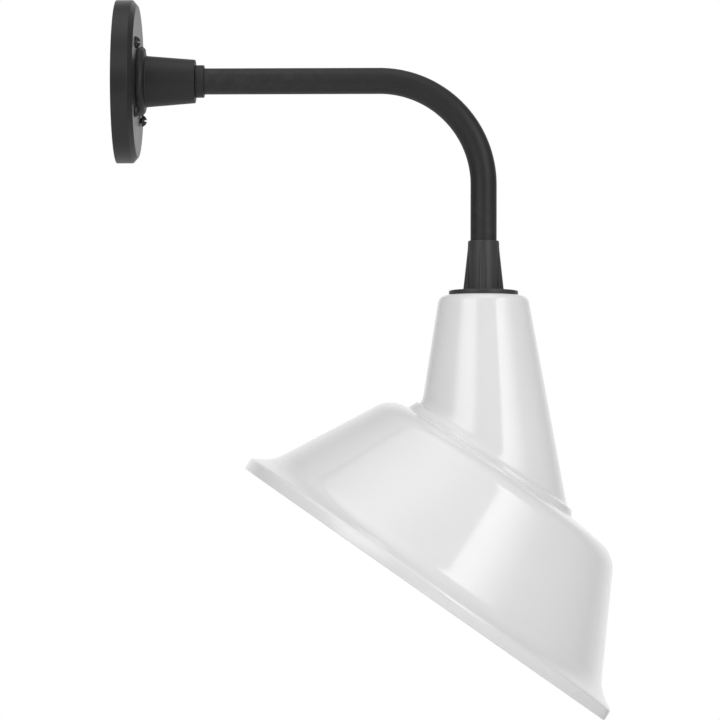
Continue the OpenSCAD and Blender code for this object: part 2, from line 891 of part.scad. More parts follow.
// Strap bent into a box: a top with the nipple's hole, two legs and two feet turned in
module holder_bracket() {
    half = bracket_len / 2;
    strap = [
        [-half, 0],
        [half, 0],
        [half, -bracket_h],
        [foot_gap / 2, -bracket_h],
        [foot_gap / 2, -bracket_h + bracket_t],
        [half - bracket_t, -bracket_h + bracket_t],
        [half - bracket_t, -bracket_t],
        [-half + bracket_t, -bracket_t],
        [-half + bracket_t, -bracket_h + bracket_t],
        [-foot_gap / 2, -bracket_h + bracket_t],
        [-foot_gap / 2, -bracket_h],
        [-half, -bracket_h]
    ];
    outline = rounded(strap, [0, 2, 2, 0, 0, 0.5, 0.5, 0.5, 0.5, 0, 0, 2], 3);
    color(zinc)
        on_drop(bracket_z)
            difference() {
                translate([-bracket_w / 2, 0, 0])
                    rotate([90, 0, 90]) linear_extrude(height = bracket_w) polygon(outline);
                translate([0, 0, -bracket_t - over]) cylinder(r = nipple_hole_r, h = bracket_t + 2 * over);
                for (s = [-1, 1])
                    translate([0, s * holder_screw_spacing / 2, -bracket_h - over])
                        cylinder(d = holder_screw_d + 2 * ease, h = bracket_t + 2 * over);
            }
}

module holder_screws() {
    color(zinc)
        for (s = [-1, 1])
            on_drop(foot_z)
                translate([0, s * holder_screw_spacing / 2, 0]) {
                    translate([0, 0, -bracket_t - holder_screw_in])
                        cylinder(d = holder_screw_d, h = bracket_t + holder_screw_in);
                    round_head(2 * holder_screw_d, 2.2);
                }
}

module lampholder() {
    outline = rounded(
        [
            [0, 0],
            [holder_head_d / 2, 0],
            [holder_head_d / 2, -holder_head_h],
            [holder_skirt_d / 2, -holder_head_h - holder_step_h],
            [holder_skirt_d / 2, -holder_h],
            [holder_cavity_d / 2, -holder_h],
            [holder_cavity_d / 2, cavity_top],
            [0, cavity_top]
        ],
        [0, 1.5, 2, 3, 1.5, 0.6, 0, 0]);
    color("#f1efe8")
        on_drop(holder_z)
            difference() {
                rotate_extrude() polygon(outline);
                for (s = [-1, 1]) {
                    translate([0, s * holder_screw_spacing / 2, -holder_screw_in - over])
                        cylinder(d = holder_screw_d + 2 * ease, h = holder_screw_in + 2 * over);
                    translate([s * lead_spread, 0, -lead_hole_depth])
                        cylinder(r = lead_hole_r, h = lead_hole_depth + over);
                }
            }
}

module screw_shell() {
    color(brass)
        on_drop(holder_z + cavity_top - shell_h)
            difference() {
                cylinder(r = shell_r + shell_wall, h = shell_h);
                translate([0, 0, -over]) cylinder(r = shell_r, h = shell_h - shell_wall + over);
                cylinder(r = 2 * contact_r, h = holder_cavity_h);
            }
}

module centre_contact() {
    color(brass)
        on_drop(holder_z + cavity_top - contact_h) {
            translate([0, 0, contact_h - 1]) cylinder(r = contact_r, h = 1);
            cylinder(r = contact_r / 2, h = contact_h);
        }
}

// Cable on the swivel's line, from the pipe's end through the nipple
module shade_cable() {
    top = pipe_end_z - bushing_lip - gap;
    color("#55534e") on_drop(shade_cable_z) cylinder(r = cable_d / 2, h = top - shade_cable_z);
}

// Two leads from the shade cable's end into the lampholder
module holder_leads() {
    for (s = [-1, 1])
        color(s < 0 ? "#1c1c1c" : "#e6e4de")
            difference() {
                wire(
                    smooth([
                        [arm_reach + s * 1.5, 0, shade_cable_z],
                        [arm_reach + s * 2.2, 0, shade_cable_z - 1.8],
                        [arm_reach + s * 5, 0, shade_cable_z - 4.5],
                        [arm_reach + s * lead_spread, 0, holder_z + 1],
                        [arm_reach + s * lead_spread, 0, holder_z - lead_hole_depth + 0.5]
                    ]),
                    lead_r);
                on_drop(shade_cable_z) cylinder(d = cable_d, h = cable_d);
            }
}

// The bulb's own frame has its contact's tip at z = 0 and its glass below
module bulb_contact() {
    color(zinc)
        on_drop(bulb_z - tip_h)
            intersection() {
                cylinder(r = tip_r, h = tip_h);
                translate([0, 0, tip_h - tip_ball_r]) sphere(r = tip_ball_r);
            }
}

module bulb_insulator() {
    color("#17161a")
        on_drop(bulb_z)
            rotate_extrude()
                polygon([[0, -tip_h], [insulator_r, -tip_h], [cap_d / 2 - cap_taper, cap_top], [0, cap_top]]);
}

module bulb_cap() {
    cap_r = cap_d / 2;
    outline = rounded(
        [
            [0, cap_top],
            [cap_r - cap_taper, cap_top],
            [cap_r, cap_shoulder],
            [cap_r, -cap_len]
        ],
        [0, 0, 1, 0], 3);
    color("#c9cbcd") on_drop(bulb_z) rotate_extrude() polygon(wall(outline, cap_sheet));
}

module bulb_glass() {
    // The envelope starts inside the cap and swells from its throat to its ball
    bulb_r = bulb_d / 2;
    throat_r = cap_d / 2 - cap_sheet - ease;
    line = rounded(
        [
            [throat_r, -cap_len + 3],
            [throat_r, -cap_len - 10],
            [bulb_r, -cap_len - 36],
            [bulb_r, -bulb_len],
            [0, -bulb_len]
        ],
        [0, 25, 45, bulb_r, 0], 8);
    outline = [for (i = [0 : len(line) - 2]) line[i]];
    color("#f7f6f2") on_drop(bulb_z) rotate_extrude() polygon(wall(outline, glass_t));
}

wall_gasket();
mounting_plate();
ground_screw();
ground_terminal();
canopy();
canopy_screws();
hub_gasket();
wall_hub();
hub_set_screw();
arm_collar();
arm();
arm_washer();
arm_locknut();
wall_bushing();
end_bushing();
arm_cable();
lead_black();
lead_white();
lead_ground();
wire_connectors();
fitter();
fitter_set_screw();
fitter_gasket();
shade_neck();
shade_dish();
nipple();
nipple_washer();
nipple_locknut();
holder_bracket();
holder_screws();
lampholder();
screw_shell();
centre_contact();
shade_cable();
holder_leads();
bulb_contact();
bulb_insulator();
bulb_cap();
bulb_glass();
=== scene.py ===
# Barn light: a round wall canopy, a quarter-bend pipe arm, a ribbed fitter and a white enamelled
# shade, whose deep dish hangs tilted on a long neck. Shapes are in millimetres until they become meshes.
import json
import math

import bmesh
import bpy
from mathutils import Matrix, Vector

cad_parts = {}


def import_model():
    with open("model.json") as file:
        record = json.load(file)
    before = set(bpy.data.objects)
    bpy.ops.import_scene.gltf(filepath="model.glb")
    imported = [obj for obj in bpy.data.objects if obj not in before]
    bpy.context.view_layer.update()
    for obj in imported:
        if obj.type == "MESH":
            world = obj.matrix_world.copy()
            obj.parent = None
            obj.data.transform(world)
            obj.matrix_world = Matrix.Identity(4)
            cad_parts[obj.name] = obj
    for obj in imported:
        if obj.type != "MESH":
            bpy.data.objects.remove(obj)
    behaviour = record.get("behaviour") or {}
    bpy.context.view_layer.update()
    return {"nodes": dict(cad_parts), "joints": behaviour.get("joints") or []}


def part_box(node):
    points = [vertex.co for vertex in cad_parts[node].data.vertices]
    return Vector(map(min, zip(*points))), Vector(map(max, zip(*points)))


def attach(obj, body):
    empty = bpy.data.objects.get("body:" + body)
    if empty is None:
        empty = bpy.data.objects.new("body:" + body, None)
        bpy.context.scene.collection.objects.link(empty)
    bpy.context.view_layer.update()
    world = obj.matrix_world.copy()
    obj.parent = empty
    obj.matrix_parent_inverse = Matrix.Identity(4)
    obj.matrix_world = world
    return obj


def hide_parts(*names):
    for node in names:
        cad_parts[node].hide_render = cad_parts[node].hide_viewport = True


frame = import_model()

MM = 0.001
# Angle in degrees from which an edge is sharp, and radius under which a ring is a point
SHARP = 35
POLE_R = 1e-6


def span(node):
    """Lowest and highest corner of a CAD node, in millimetres."""
    low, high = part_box(node)
    return low / MM, high / MM


# Sizes taken from the frame
CANOPY_DEPTH = span("canopy")[1].x
CANOPY_R = span("canopy")[1].z
HUB_NOSE_X = span("wall_hub")[1].x
HUB_FLANGE_R = span("wall_hub")[1].y
COLLAR_X = span("arm_collar")[1].x
COLLAR_R = span("arm_collar")[1].y
ARM_REACH = next(joint for joint in frame["joints"] if joint["name"] == "shade_swivel")["pos_m"][0] / MM
PIPE_R = span("arm")[1].x - ARM_REACH
PIPE_TAIL_X = span("arm")[0].x
PIPE_END_Z = span("arm")[0].z
FITTER_TOP = span("fitter")[1].z
FITTER_LEN = FITTER_TOP - span("fitter")[0].z
FITTER_FLANGE_R = span("fitter")[1].x - ARM_REACH
NECK_TOP = span("shade_neck")[1].z
RIM_R = span("shade_dish")[1].y
HOLDER_TOP = span("lampholder")[1].z
HOLDER_H = HOLDER_TOP - span("lampholder")[0].z
HOLDER_R = span("lampholder")[1].y
BULB_TOP = span("bulb_contact")[1].z
BULB_LEN = BULB_TOP - span("bulb_glass")[0].z
BULB_R = span("bulb_glass")[1].y
CAP_R = span("bulb_cap")[1].y
CAP_LEN = BULB_TOP - span("bulb_cap")[0].z

# Clearances: of the turning fitter on the pipe, and of fixed pieces that slide together
TURN_FIT = 0.05
EASE = 0.15

# Wall side
CANOPY_FACE_T = 3
CANOPY_RIM_W = 4.5
CANOPY_BEVEL_H = 4
CANOPY_BEVEL_W = 4.75
SCREW_CIRCLE_R = 40
SCREW_TURN = math.radians(42)
SLOT_TURN = math.radians(50)
SCREW_R = 2.4
SCREW_HEAD_R = 5
SCREW_HEAD_H = 4.2
SLACK_SCREW_GAP = 1
HUB_FLANGE_T = 6.3
HUB_BASE_R = 21
HUB_NOSE_R = 17.7
HUB_SCREW_R = 2.65
PIPE_WALL = 2.2
BEND_R = 85

# Fitter
FITTER_COLLAR_R = 12.5
FITTER_COLLAR_LEN = 5.8
RIB_HALF = 2.3
RIB_FOOT_R = 16.3
BOSS_R = 17.2
BOSS_H = 0.7
FLANGE_T = 3.7
FITTER_BORE = 31.6
NIPPLE_HOLE_R = 6.9
NIPPLE_HOLE_H = 9
WIRE_BORE_R = 4.6
RIB_PROUD = 0.12
SCREW_BOSS_R = 4.5
SCREW_BOSS_H = 2.5
SCREW_BOSS_Z = -19

# Shade
TILT = math.radians(35)
RIM_X = span("shade_dish")[0].x + RIM_R * math.cos(TILT)
RIM_Z = span("shade_dish")[0].z + RIM_R * math.sin(TILT)
SHADE_WALL = 1.2
NECK_R = 36.1
NECK_SLOPE = math.tan(math.radians(9.7))
NECK_EDGE_R = 7
NECK_HOLE_R = 6.9
NECK_LEAN = math.tan(math.radians(0.86))
RIM_BAND_H = 10
FLARE_CORNER = (162.1, 18.35)
SHOULDER_CORNER = (110.81, 114)
CROWN_KNEE = (76.01, 119.02)
CROWN_START = (30, 119.66)
SEAM_H = 124.52
LEDGE_W = 4.5
COLLAR_FOOT_W = 3.5
FLARE_H = 10
FRONT_DIP = 1.5
LEDGE_DROP = 2
CREST_R = 1.1
CROWN_END_R = 113
DISH_SHEAR = 0.025
SHADE_SIDES = 320

# View and light
CAMERA_AT = (0.6216, -7.3233, -0.6777)
CAMERA_TURN = (93.514, -0.108, 3.297)
CAMERA_LENS = 452.96
WORLD_FILL = 0.52
WORLD_GLOSS = 0.3
WORLD_BEHIND = 0.9
WORLD_BEHIND_FROM = 0.6
WORLD_BEHIND_FULL = 0.99
FLOOR_R = 9
FLOOR_Z = -0.95
LIGHT_AIM = (0.3, 0, -0.35)


# Outlines and meshes

def arc_corner(before, point, after, radius, steps):
    """Arc of this radius in a corner, with a support point on the straight at each side."""
    support = 0.15
    back = (before - point).normalized()
    ahead = (after - point).normalized()
    half = back.angle(ahead) / 2
    reach = radius / math.tan(half)
    centre = point + (back + ahead).normalized() * radius / math.sin(half)
    start = point + back * reach - centre
    end = point + ahead * reach - centre
    sweep = math.pi - 2 * half
    arc = []
    for k in range(steps + 1):
        turn = sweep * k / steps
        arc.append(centre + (start * math.sin(sweep - turn) + end * math.sin(turn)) / math.sin(sweep))
    return [arc[0] + back * support, *arc, arc[-1] + ahead * support]


def rounded(points, radii, steps=8):
    """Outline through points, each corner rounded by its own radius; 0 keeps it sharp."""
    points = [Vector(p) for p in points]
    count = len(points)
    made = []
    for i, radius in enumerate(radii):
        if radius == 0:
            made.append(points[i])
        else:
            made += arc_corner(points[i - 1], points[i], points[(i + 1) % count], radius, steps)
    return made


def beside(line, distance):
    """Open outline moved to the right of its own direction."""
    moved = []
    for i, point in enumerate(line):
        along = (line[min(i + 1, len(line) - 1)] - line[max(i - 1, 0)]).normalized()
        moved.append(point + Vector((along.y, -along.x)) * distance)
    return moved


def bridge(mesh, a, b):
    """Faces between two rings of a mesh, either of which may be a single pole."""
    count = max(len(a), len(b))
    if count == 1:
        return
    for k in range(count):
        corners = [a[k % len(a)], a[(k + 1) % len(a)], b[(k + 1) % len(b)], b[k % len(b)]]
        mesh.faces.new(list(dict.fromkeys(corners)))


def smoothed(made, sharp=SHARP):
    """The mesh with smooth sides and, over this angle in degrees, sharp edges."""
    made.shade_smooth()
    made.set_sharp_from_angle(angle=math.radians(sharp))
    return made


def as_mesh(mesh, name):
    """Mesh data of a bmesh, which is freed."""
    made = bpy.data.meshes.new(name)
    mesh.to_mesh(made)
    mesh.free()
    return made


def finished(mesh, name, place=None, sharp=SHARP):
    """Ends a bmesh drawn in millimetres: merged, facing outwards, in place and in metres."""
    bmesh.ops.remove_doubles(mesh, verts=mesh.verts, dist=0.0005)
    bmesh.ops.recalc_face_normals(mesh, faces=mesh.faces)
    if place is not None:
        mesh.transform(place)
    mesh.transform(Matrix.Scale(MM, 4))
    return smoothed(as_mesh(mesh, name), sharp)


def stacked(name, rings, place=None, sharp=SHARP):
    """Mesh through rings of points, the last joined to the first."""
    mesh = bmesh.new()
    made = [[mesh.verts.new(p) for p in ring] for ring in rings]
    for a, b in zip(made, made[1:] + made[:1]):
        bridge(mesh, a, b)
    return finished(mesh, name, place, sharp)


def ring_at(radius, height, steps):
    """Ring of points about Z, or one point where the ring closes."""
    if radius < POLE_R:
        return [Vector((0, 0, height))]
    turns = [2 * math.pi * k / steps for k in range(steps)]
    return [Vector((radius * math.cos(t), radius * math.sin(t), height)) for t in turns]


def lathe(name, outline, place=None, steps=160):
    """Solid turned from a closed outline of (radius, height) points."""
    return stacked(name, [ring_at(r, h, steps) for r, h in outline], place)


def off_wall(x=0):
    """Place whose own Z runs along the arm's straight part."""
    return Matrix.Translation((x, 0, 0)) @ Matrix.Rotation(math.pi / 2, 4, "Y")


def on_drop(z):
    """Place on the vertical pipe's middle line."""
    return Matrix.Translation((ARM_REACH, 0, z))


def joined(name, meshes):
    """One mesh of several."""
    mesh = bmesh.new()
    for part in meshes:
        mesh.from_mesh(part)
    return smoothed(as_mesh(mesh, name))


def shown(name, data):
    """New object of the scene with this mesh, light or camera."""
    made = bpy.data.objects.new(name, data)
    bpy.context.scene.collection.objects.link(made)
    return made


def cut(mesh, cutter):
    """The mesh with the cutter's shape taken out of it."""
    body, tool = shown("body", mesh), shown("tool", cutter)
    step = body.modifiers.new("cut", "BOOLEAN")
    step.operation = "DIFFERENCE"
    step.solver = "EXACT"
    step.object = tool
    return settled(body, tool)


def settled(body, *tools):
    """The body's mesh with its modifiers made real; the objects go."""
    graph = bpy.context.evaluated_depsgraph_get()
    made = bpy.data.meshes.new_from_object(body.evaluated_get(graph))
    made.name = body.name
    for spent in (body, *tools):
        bpy.data.objects.remove(spent)
    return smoothed(made)


def piece(name, mesh, finish, body, *nodes):
    """Puts a mesh into the scene with its finish, body and the CAD nodes that it stands for."""
    mesh.materials.clear()
    mesh.materials.append(FINISHES[finish])
    made = shown(name, mesh)
    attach(made, body)
    if nodes:
        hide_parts(*nodes)
    return made


# Node trees

FLOAT = "NodeSocketFloat"
COLOUR = "NodeSocketColor"


def new_tree(name, kind, inputs, outputs):
    """Node group with named inputs and outputs."""
    tree = bpy.data.node_groups.new(name, kind)
    for label, socket, value in inputs:
        made = tree.interface.new_socket(name=label, in_out="INPUT", socket_type=socket)
        if value is not None:
            made.default_value = value
    for label, socket in outputs:
        tree.interface.new_socket(name=label, in_out="OUTPUT", socket_type=socket)
    return tree, tree.nodes.new("NodeGroupInput").outputs, tree.nodes.new("NodeGroupOutput").inputs


def add(tree, kind, sockets=None, **settings):
    """Node with its settings, and its sockets either linked or set."""
    node = tree.nodes.new(kind)
    for key, value in settings.items():
        setattr(node, key, value)
    for key, value in (sockets or {}).items():
        if isinstance(value, bpy.types.NodeSocket):
            tree.links.new(value, node.inputs[key])
        else:
            node.inputs[key].default_value = value
    return node


def math_node(tree, operation, a, b):
    return add(tree, "ShaderNodeMath", {0: a, 1: b}, operation=operation).outputs[0]


def cleared(owner):
    """Empty node tree of a material, light or world."""
    owner.use_nodes = True
    owner.node_tree.nodes.clear()
    return owner.node_tree


def ended(tree, shape, material, result):
    """Geometry Nodes tree with its last steps: instances made real, and the finish."""
    real = add(tree, "GeometryNodeRealizeInstances", {"Geometry": shape})
    dressed = add(tree, "GeometryNodeSetMaterial", {"Geometry": real.outputs[0], "Material": material})
    tree.links.new(dressed.outputs[0], result[0])
    return tree


def grown(name, tree, values):
    """Mesh that a Geometry Nodes tree makes from these inputs."""
    seed = shown(name, bpy.data.meshes.new(name))
    step = seed.modifiers.new("grow", "NODES")
    step.node_group = tree
    for item in tree.interface.items_tree:
        if item.item_type == "SOCKET" and item.in_out == "INPUT" and item.name in values:
            step[item.identifier] = values[item.name]
    return settled(seed)


def round_copies_tree():
    """Copies of a shape on a circle about Z, each turned outwards; the first can stand off."""
    tree, given, result = new_tree(
        "round_copies", "GeometryNodeTree",
        [
            ("Shape", "NodeSocketObject", None),
            ("Count", "NodeSocketInt", 4),
            ("Radius", FLOAT, 0.01),
            ("Start", FLOAT, 0.0),
            ("Stand Off", FLOAT, 0.0),
            ("Finish", "NodeSocketMaterial", None),
        ],
        [("Geometry", "NodeSocketGeometry")])
    circle = add(tree, "GeometryNodeMeshCircle", {"Vertices": given["Count"], "Radius": given["Radius"]})
    index = add(tree, "GeometryNodeInputIndex").outputs[0]
    step = math_node(tree, "DIVIDE", 2 * math.pi, given["Count"])
    turn = math_node(tree, "MULTIPLY", index, step)
    first = add(tree, "FunctionNodeCompare", {2: index, 3: 0}, data_type="INT", operation="EQUAL").outputs[0]
    lift = add(tree, "ShaderNodeCombineXYZ", {2: given["Stand Off"]}).outputs[0]
    raised = add(
        tree, "GeometryNodeSetPosition", {"Geometry": circle.outputs[0], "Selection": first, "Offset": lift})
    facing = add(tree, "ShaderNodeCombineXYZ", {2: turn}).outputs[0]
    shape = add(tree, "GeometryNodeObjectInfo", {"Object": given["Shape"]}).outputs["Geometry"]
    copies = add(
        tree, "GeometryNodeInstanceOnPoints",
        {"Points": raised.outputs[0], "Instance": shape, "Rotation": facing})
    spin = add(tree, "ShaderNodeCombineXYZ", {2: given["Start"]}).outputs[0]
    turned = add(tree, "GeometryNodeTransform", {"Geometry": copies.outputs[0], "Rotation": spin})
    return ended(tree, turned.outputs[0], given["Finish"], result)


def thread_tree():
    """Round thread wound about Z, from z = 0 upwards."""
    tree, given, result = new_tree(
        "wound_thread", "GeometryNodeTree",
        [
            ("Radius", FLOAT, 0.01),
            ("Pitch", FLOAT, 0.001),
            ("Turns", FLOAT, 6.0),
            ("Depth", FLOAT, 0.0005),
            ("Sides", "NodeSocketInt", 8),
            ("Finish", "NodeSocketMaterial", None),
        ],
        [("Geometry", "NodeSocketGeometry")])
    height = math_node(tree, "MULTIPLY", given["Pitch"], given["Turns"])
    line = add(
        tree, "GeometryNodeCurveSpiral",
        {
            "Resolution": 40, "Rotations": given["Turns"], "Start Radius": given["Radius"],
            "End Radius": given["Radius"], "Height": height,
        })
    section = add(
        tree, "GeometryNodeCurvePrimitiveCircle", {"Resolution": given["Sides"], "Radius": given["Depth"]})
    swept = add(
        tree, "GeometryNodeCurveToMesh",
        {"Curve": line.outputs[0], "Profile Curve": section.outputs[0], "Fill Caps": True})
    return ended(tree, swept.outputs[0], given["Finish"], result)


def bent_pipe_tree():
    """Skin of a pipe that runs out along X, turns down through a quarter bend and drops."""
    tree, given, result = new_tree(
        "bent_pipe", "GeometryNodeTree",
        [
            ("Tail", FLOAT, 0.0),
            ("Reach", FLOAT, 0.3),
            ("Drop", FLOAT, 0.15),
            ("Bend Radius", FLOAT, 0.08),
            ("Pipe Radius", FLOAT, 0.01),
            ("Finish", "NodeSocketMaterial", None),
        ],
        [("Geometry", "NodeSocketGeometry")])
    start = add(tree, "ShaderNodeCombineXYZ", {0: given["Tail"]}).outputs[0]
    corner = add(tree, "ShaderNodeCombineXYZ", {0: given["Reach"]}).outputs[0]
    down = math_node(tree, "MULTIPLY", given["Drop"], -1.0)
    drop = add(tree, "ShaderNodeCombineXYZ", {2: down}).outputs[0]
    run = add(
        tree, "GeometryNodeMeshLine", {"Count": 2, "Start Location": start, "Offset": corner},
        mode="END_POINTS")
    index = add(tree, "GeometryNodeInputIndex").outputs[0]
    last = add(tree, "FunctionNodeCompare", {2: index, 3: 1}, data_type="INT", operation="EQUAL").outputs[0]
    angled = add(
        tree, "GeometryNodeExtrudeMesh",
        {"Mesh": run.outputs[0], "Selection": last, "Offset": drop, "Offset Scale": 1.0}, mode="VERTICES")
    line = add(tree, "GeometryNodeMeshToCurve", {"Mesh": angled.outputs[0]})
    bent = add(
        tree, "GeometryNodeFilletCurve",
        {"Curve": line.outputs[0], "Count": 72, "Radius": given["Bend Radius"]}, mode="POLY")
    section = add(
        tree, "GeometryNodeCurvePrimitiveCircle", {"Resolution": 96, "Radius": given["Pipe Radius"]})
    skin = add(
        tree, "GeometryNodeCurveToMesh", {"Curve": bent.outputs[0], "Profile Curve": section.outputs[0]})
    return ended(tree, skin.outputs[0], given["Finish"], result)


# Finishes

def grain_group():
    """Fine grain over slow mottling, as on powder coat, moulded plastic and glaze."""
    tree, given, result = new_tree(
        "fine_grain", "ShaderNodeTree",
        [
            ("Low Colour", COLOUR, (0.02, 0.02, 0.02, 1)),
            ("High Colour", COLOUR, (0.04, 0.04, 0.04, 1)),
            ("Grain Scale", FLOAT, 1500.0),
            ("Mottle Scale", FLOAT, 40.0),
            ("Grain Share", FLOAT, 0.5),
            ("Low Roughness", FLOAT, 0.4),
            ("High Roughness", FLOAT, 0.6),
        ],
        [("Colour", COLOUR), ("Roughness", FLOAT), ("Height", FLOAT)])
    place = add(tree, "ShaderNodeTexCoord").outputs["Object"]
    grain = add(tree, "ShaderNodeTexNoise", {"Vector": place, "Scale": given["Grain Scale"], "Detail": 2.0})
    mottle = add(tree, "ShaderNodeTexNoise", {"Vector": place, "Scale": given["Mottle Scale"], "Detail": 3.0})
    fine = grain.outputs[0]
    slow = mottle.outputs[0]
    blend = add(tree, "ShaderNodeMix", {0: given["Grain Share"], 2: slow, 3: fine}).outputs[0]
    spread = add(tree, "ShaderNodeMapRange", {0: blend, 1: 0.3, 2: 0.7}).outputs[0]
    colour = add(
        tree, "ShaderNodeMix", {0: spread, 6: given["Low Colour"], 7: given["High Colour"]},
        data_type="RGBA").outputs[2]
    rough = add(tree, "ShaderNodeMix", {0: spread, 2: given["Low Roughness"], 3: given["High Roughness"]})
    tree.links.new(colour, result["Colour"])
    tree.links.new(rough.outputs[0], result["Roughness"])
    tree.links.new(fine, result["Height"])
    return tree


def wear_and_highlight_group():
    """Edges rubbed towards another colour, in broken patches; on the dark finishes these lighter edges are
    also a painted highlight.
    """
    tree, given, result = new_tree(
        "rubbed_edges", "ShaderNodeTree",
        [
            ("Colour", COLOUR, (0, 0, 0, 1)),
            ("Worn Colour", COLOUR, (0.2, 0.2, 0.2, 1)),
            ("Amount", FLOAT, 0.3),
            ("Patch Scale", FLOAT, 120.0),
        ],
        [("Colour", COLOUR)])
    # Convex edges (pointiness) take the other colour: rubbed wear, and on the dark parts a painted edge
    # highlight
    point = add(tree, "ShaderNodeNewGeometry").outputs["Pointiness"]
    edge = add(tree, "ShaderNodeMapRange", {0: point, 1: 0.52, 2: 0.62}).outputs[0]
    place = add(tree, "ShaderNodeTexCoord").outputs["Object"]
    patch = add(tree, "ShaderNodeTexNoise", {"Vector": place, "Scale": given["Patch Scale"], "Detail": 4.0})
    broken = add(tree, "ShaderNodeMapRange", {0: patch.outputs[0], 1: 0.45, 2: 0.65}).outputs[0]
    mask = math_node(tree, "MULTIPLY", math_node(tree, "MULTIPLY", edge, broken), given["Amount"])
    colour = add(
        tree, "ShaderNodeMix", {0: mask, 6: given["Colour"], 7: given["Worn Colour"]},
        data_type="RGBA").outputs[2]
    tree.links.new(colour, result["Colour"])
    return tree


def dust_group():
    """Thin settled dust on what faces up."""
    tree, given, result = new_tree(
        "settled_dust", "ShaderNodeTree",
        [
            ("Colour", COLOUR, (0, 0, 0, 1)),
            ("Roughness", FLOAT, 0.5),
            ("Dust Colour", COLOUR, (0.35, 0.34, 0.32, 1)),
            ("Amount", FLOAT, 0.05),
        ],
        [("Colour", COLOUR), ("Roughness", FLOAT)])
    normal = add(tree, "ShaderNodeNewGeometry").outputs["Normal"]
    facing = add(tree, "ShaderNodeSeparateXYZ", {0: normal}).outputs[2]
    up = add(tree, "ShaderNodeMapRange", {0: facing, 1: 0.3, 2: 1.0}).outputs[0]
    place = add(tree, "ShaderNodeTexCoord").outputs["Object"]
    cloud = add(tree, "ShaderNodeTexNoise", {"Vector": place, "Scale": 25.0, "Detail": 5.0}).outputs[0]
    mask = math_node(tree, "MULTIPLY", math_node(tree, "MULTIPLY", up, cloud), given["Amount"])
    colour = add(
        tree, "ShaderNodeMix", {0: mask, 6: given["Colour"], 7: given["Dust Colour"]},
        data_type="RGBA").outputs[2]
    rough = add(tree, "ShaderNodeMix", {0: mask, 2: given["Roughness"], 3: 0.9}).outputs[0]
    tree.links.new(colour, result["Colour"])
    tree.links.new(rough, result["Roughness"])
    return tree


def grey(level):
    """Neutral colour."""
    return (level, level, level, 1)


def finish(name, low, high, roughness, grain=1500, mottle=40, share=0.5, worn_and_highlit=None, wear_and_highlight=0.3,
           dust=0.05, bump=0.00003, bump_strength=0.4, **sockets):
    """Material of grain, rubbed edges that are partly a painted edge highlight, and dust; sockets are the
    shader's own.
    """
    made = bpy.data.materials.new(name)
    tree = cleared(made)
    skin = add(
        tree, "ShaderNodeGroup",
        {
            "Low Colour": low, "High Colour": high, "Grain Scale": grain, "Mottle Scale": mottle,
            "Grain Share": share, "Low Roughness": roughness[0], "High Roughness": roughness[1],
        },
        node_tree=GROUPS["grain"])
    rubbed_and_highlit = add(
        tree, "ShaderNodeGroup",
        {"Colour": skin.outputs["Colour"], "Worn Colour": worn_and_highlit or high, "Amount": wear_and_highlight},
        node_tree=GROUPS["wear_and_highlight"])
    dusty = add(
        tree, "ShaderNodeGroup",
        {"Colour": rubbed_and_highlit.outputs["Colour"], "Roughness": skin.outputs["Roughness"], "Amount": dust},
        node_tree=GROUPS["dust"])
    relief = add(
        tree, "ShaderNodeBump",
        {"Strength": bump_strength, "Distance": bump, "Height": skin.outputs["Height"]})
    shader = add(
        tree, "ShaderNodeBsdfPrincipled",
        {
            "Base Color": dusty.outputs["Colour"], "Roughness": dusty.outputs["Roughness"],
            "Normal": relief.outputs[0],
        })
    for label, value in sockets.items():
        shader.inputs[label.replace("_", " ")].default_value = value
    add(tree, "ShaderNodeOutputMaterial", {"Surface": shader.outputs[0]})
    return made


GROUPS = {"grain": grain_group(), "wear_and_highlight": wear_and_highlight_group(), "dust": dust_group()}
TREES = {"copies": round_copies_tree(), "thread": thread_tree(), "pipe": bent_pipe_tree()}
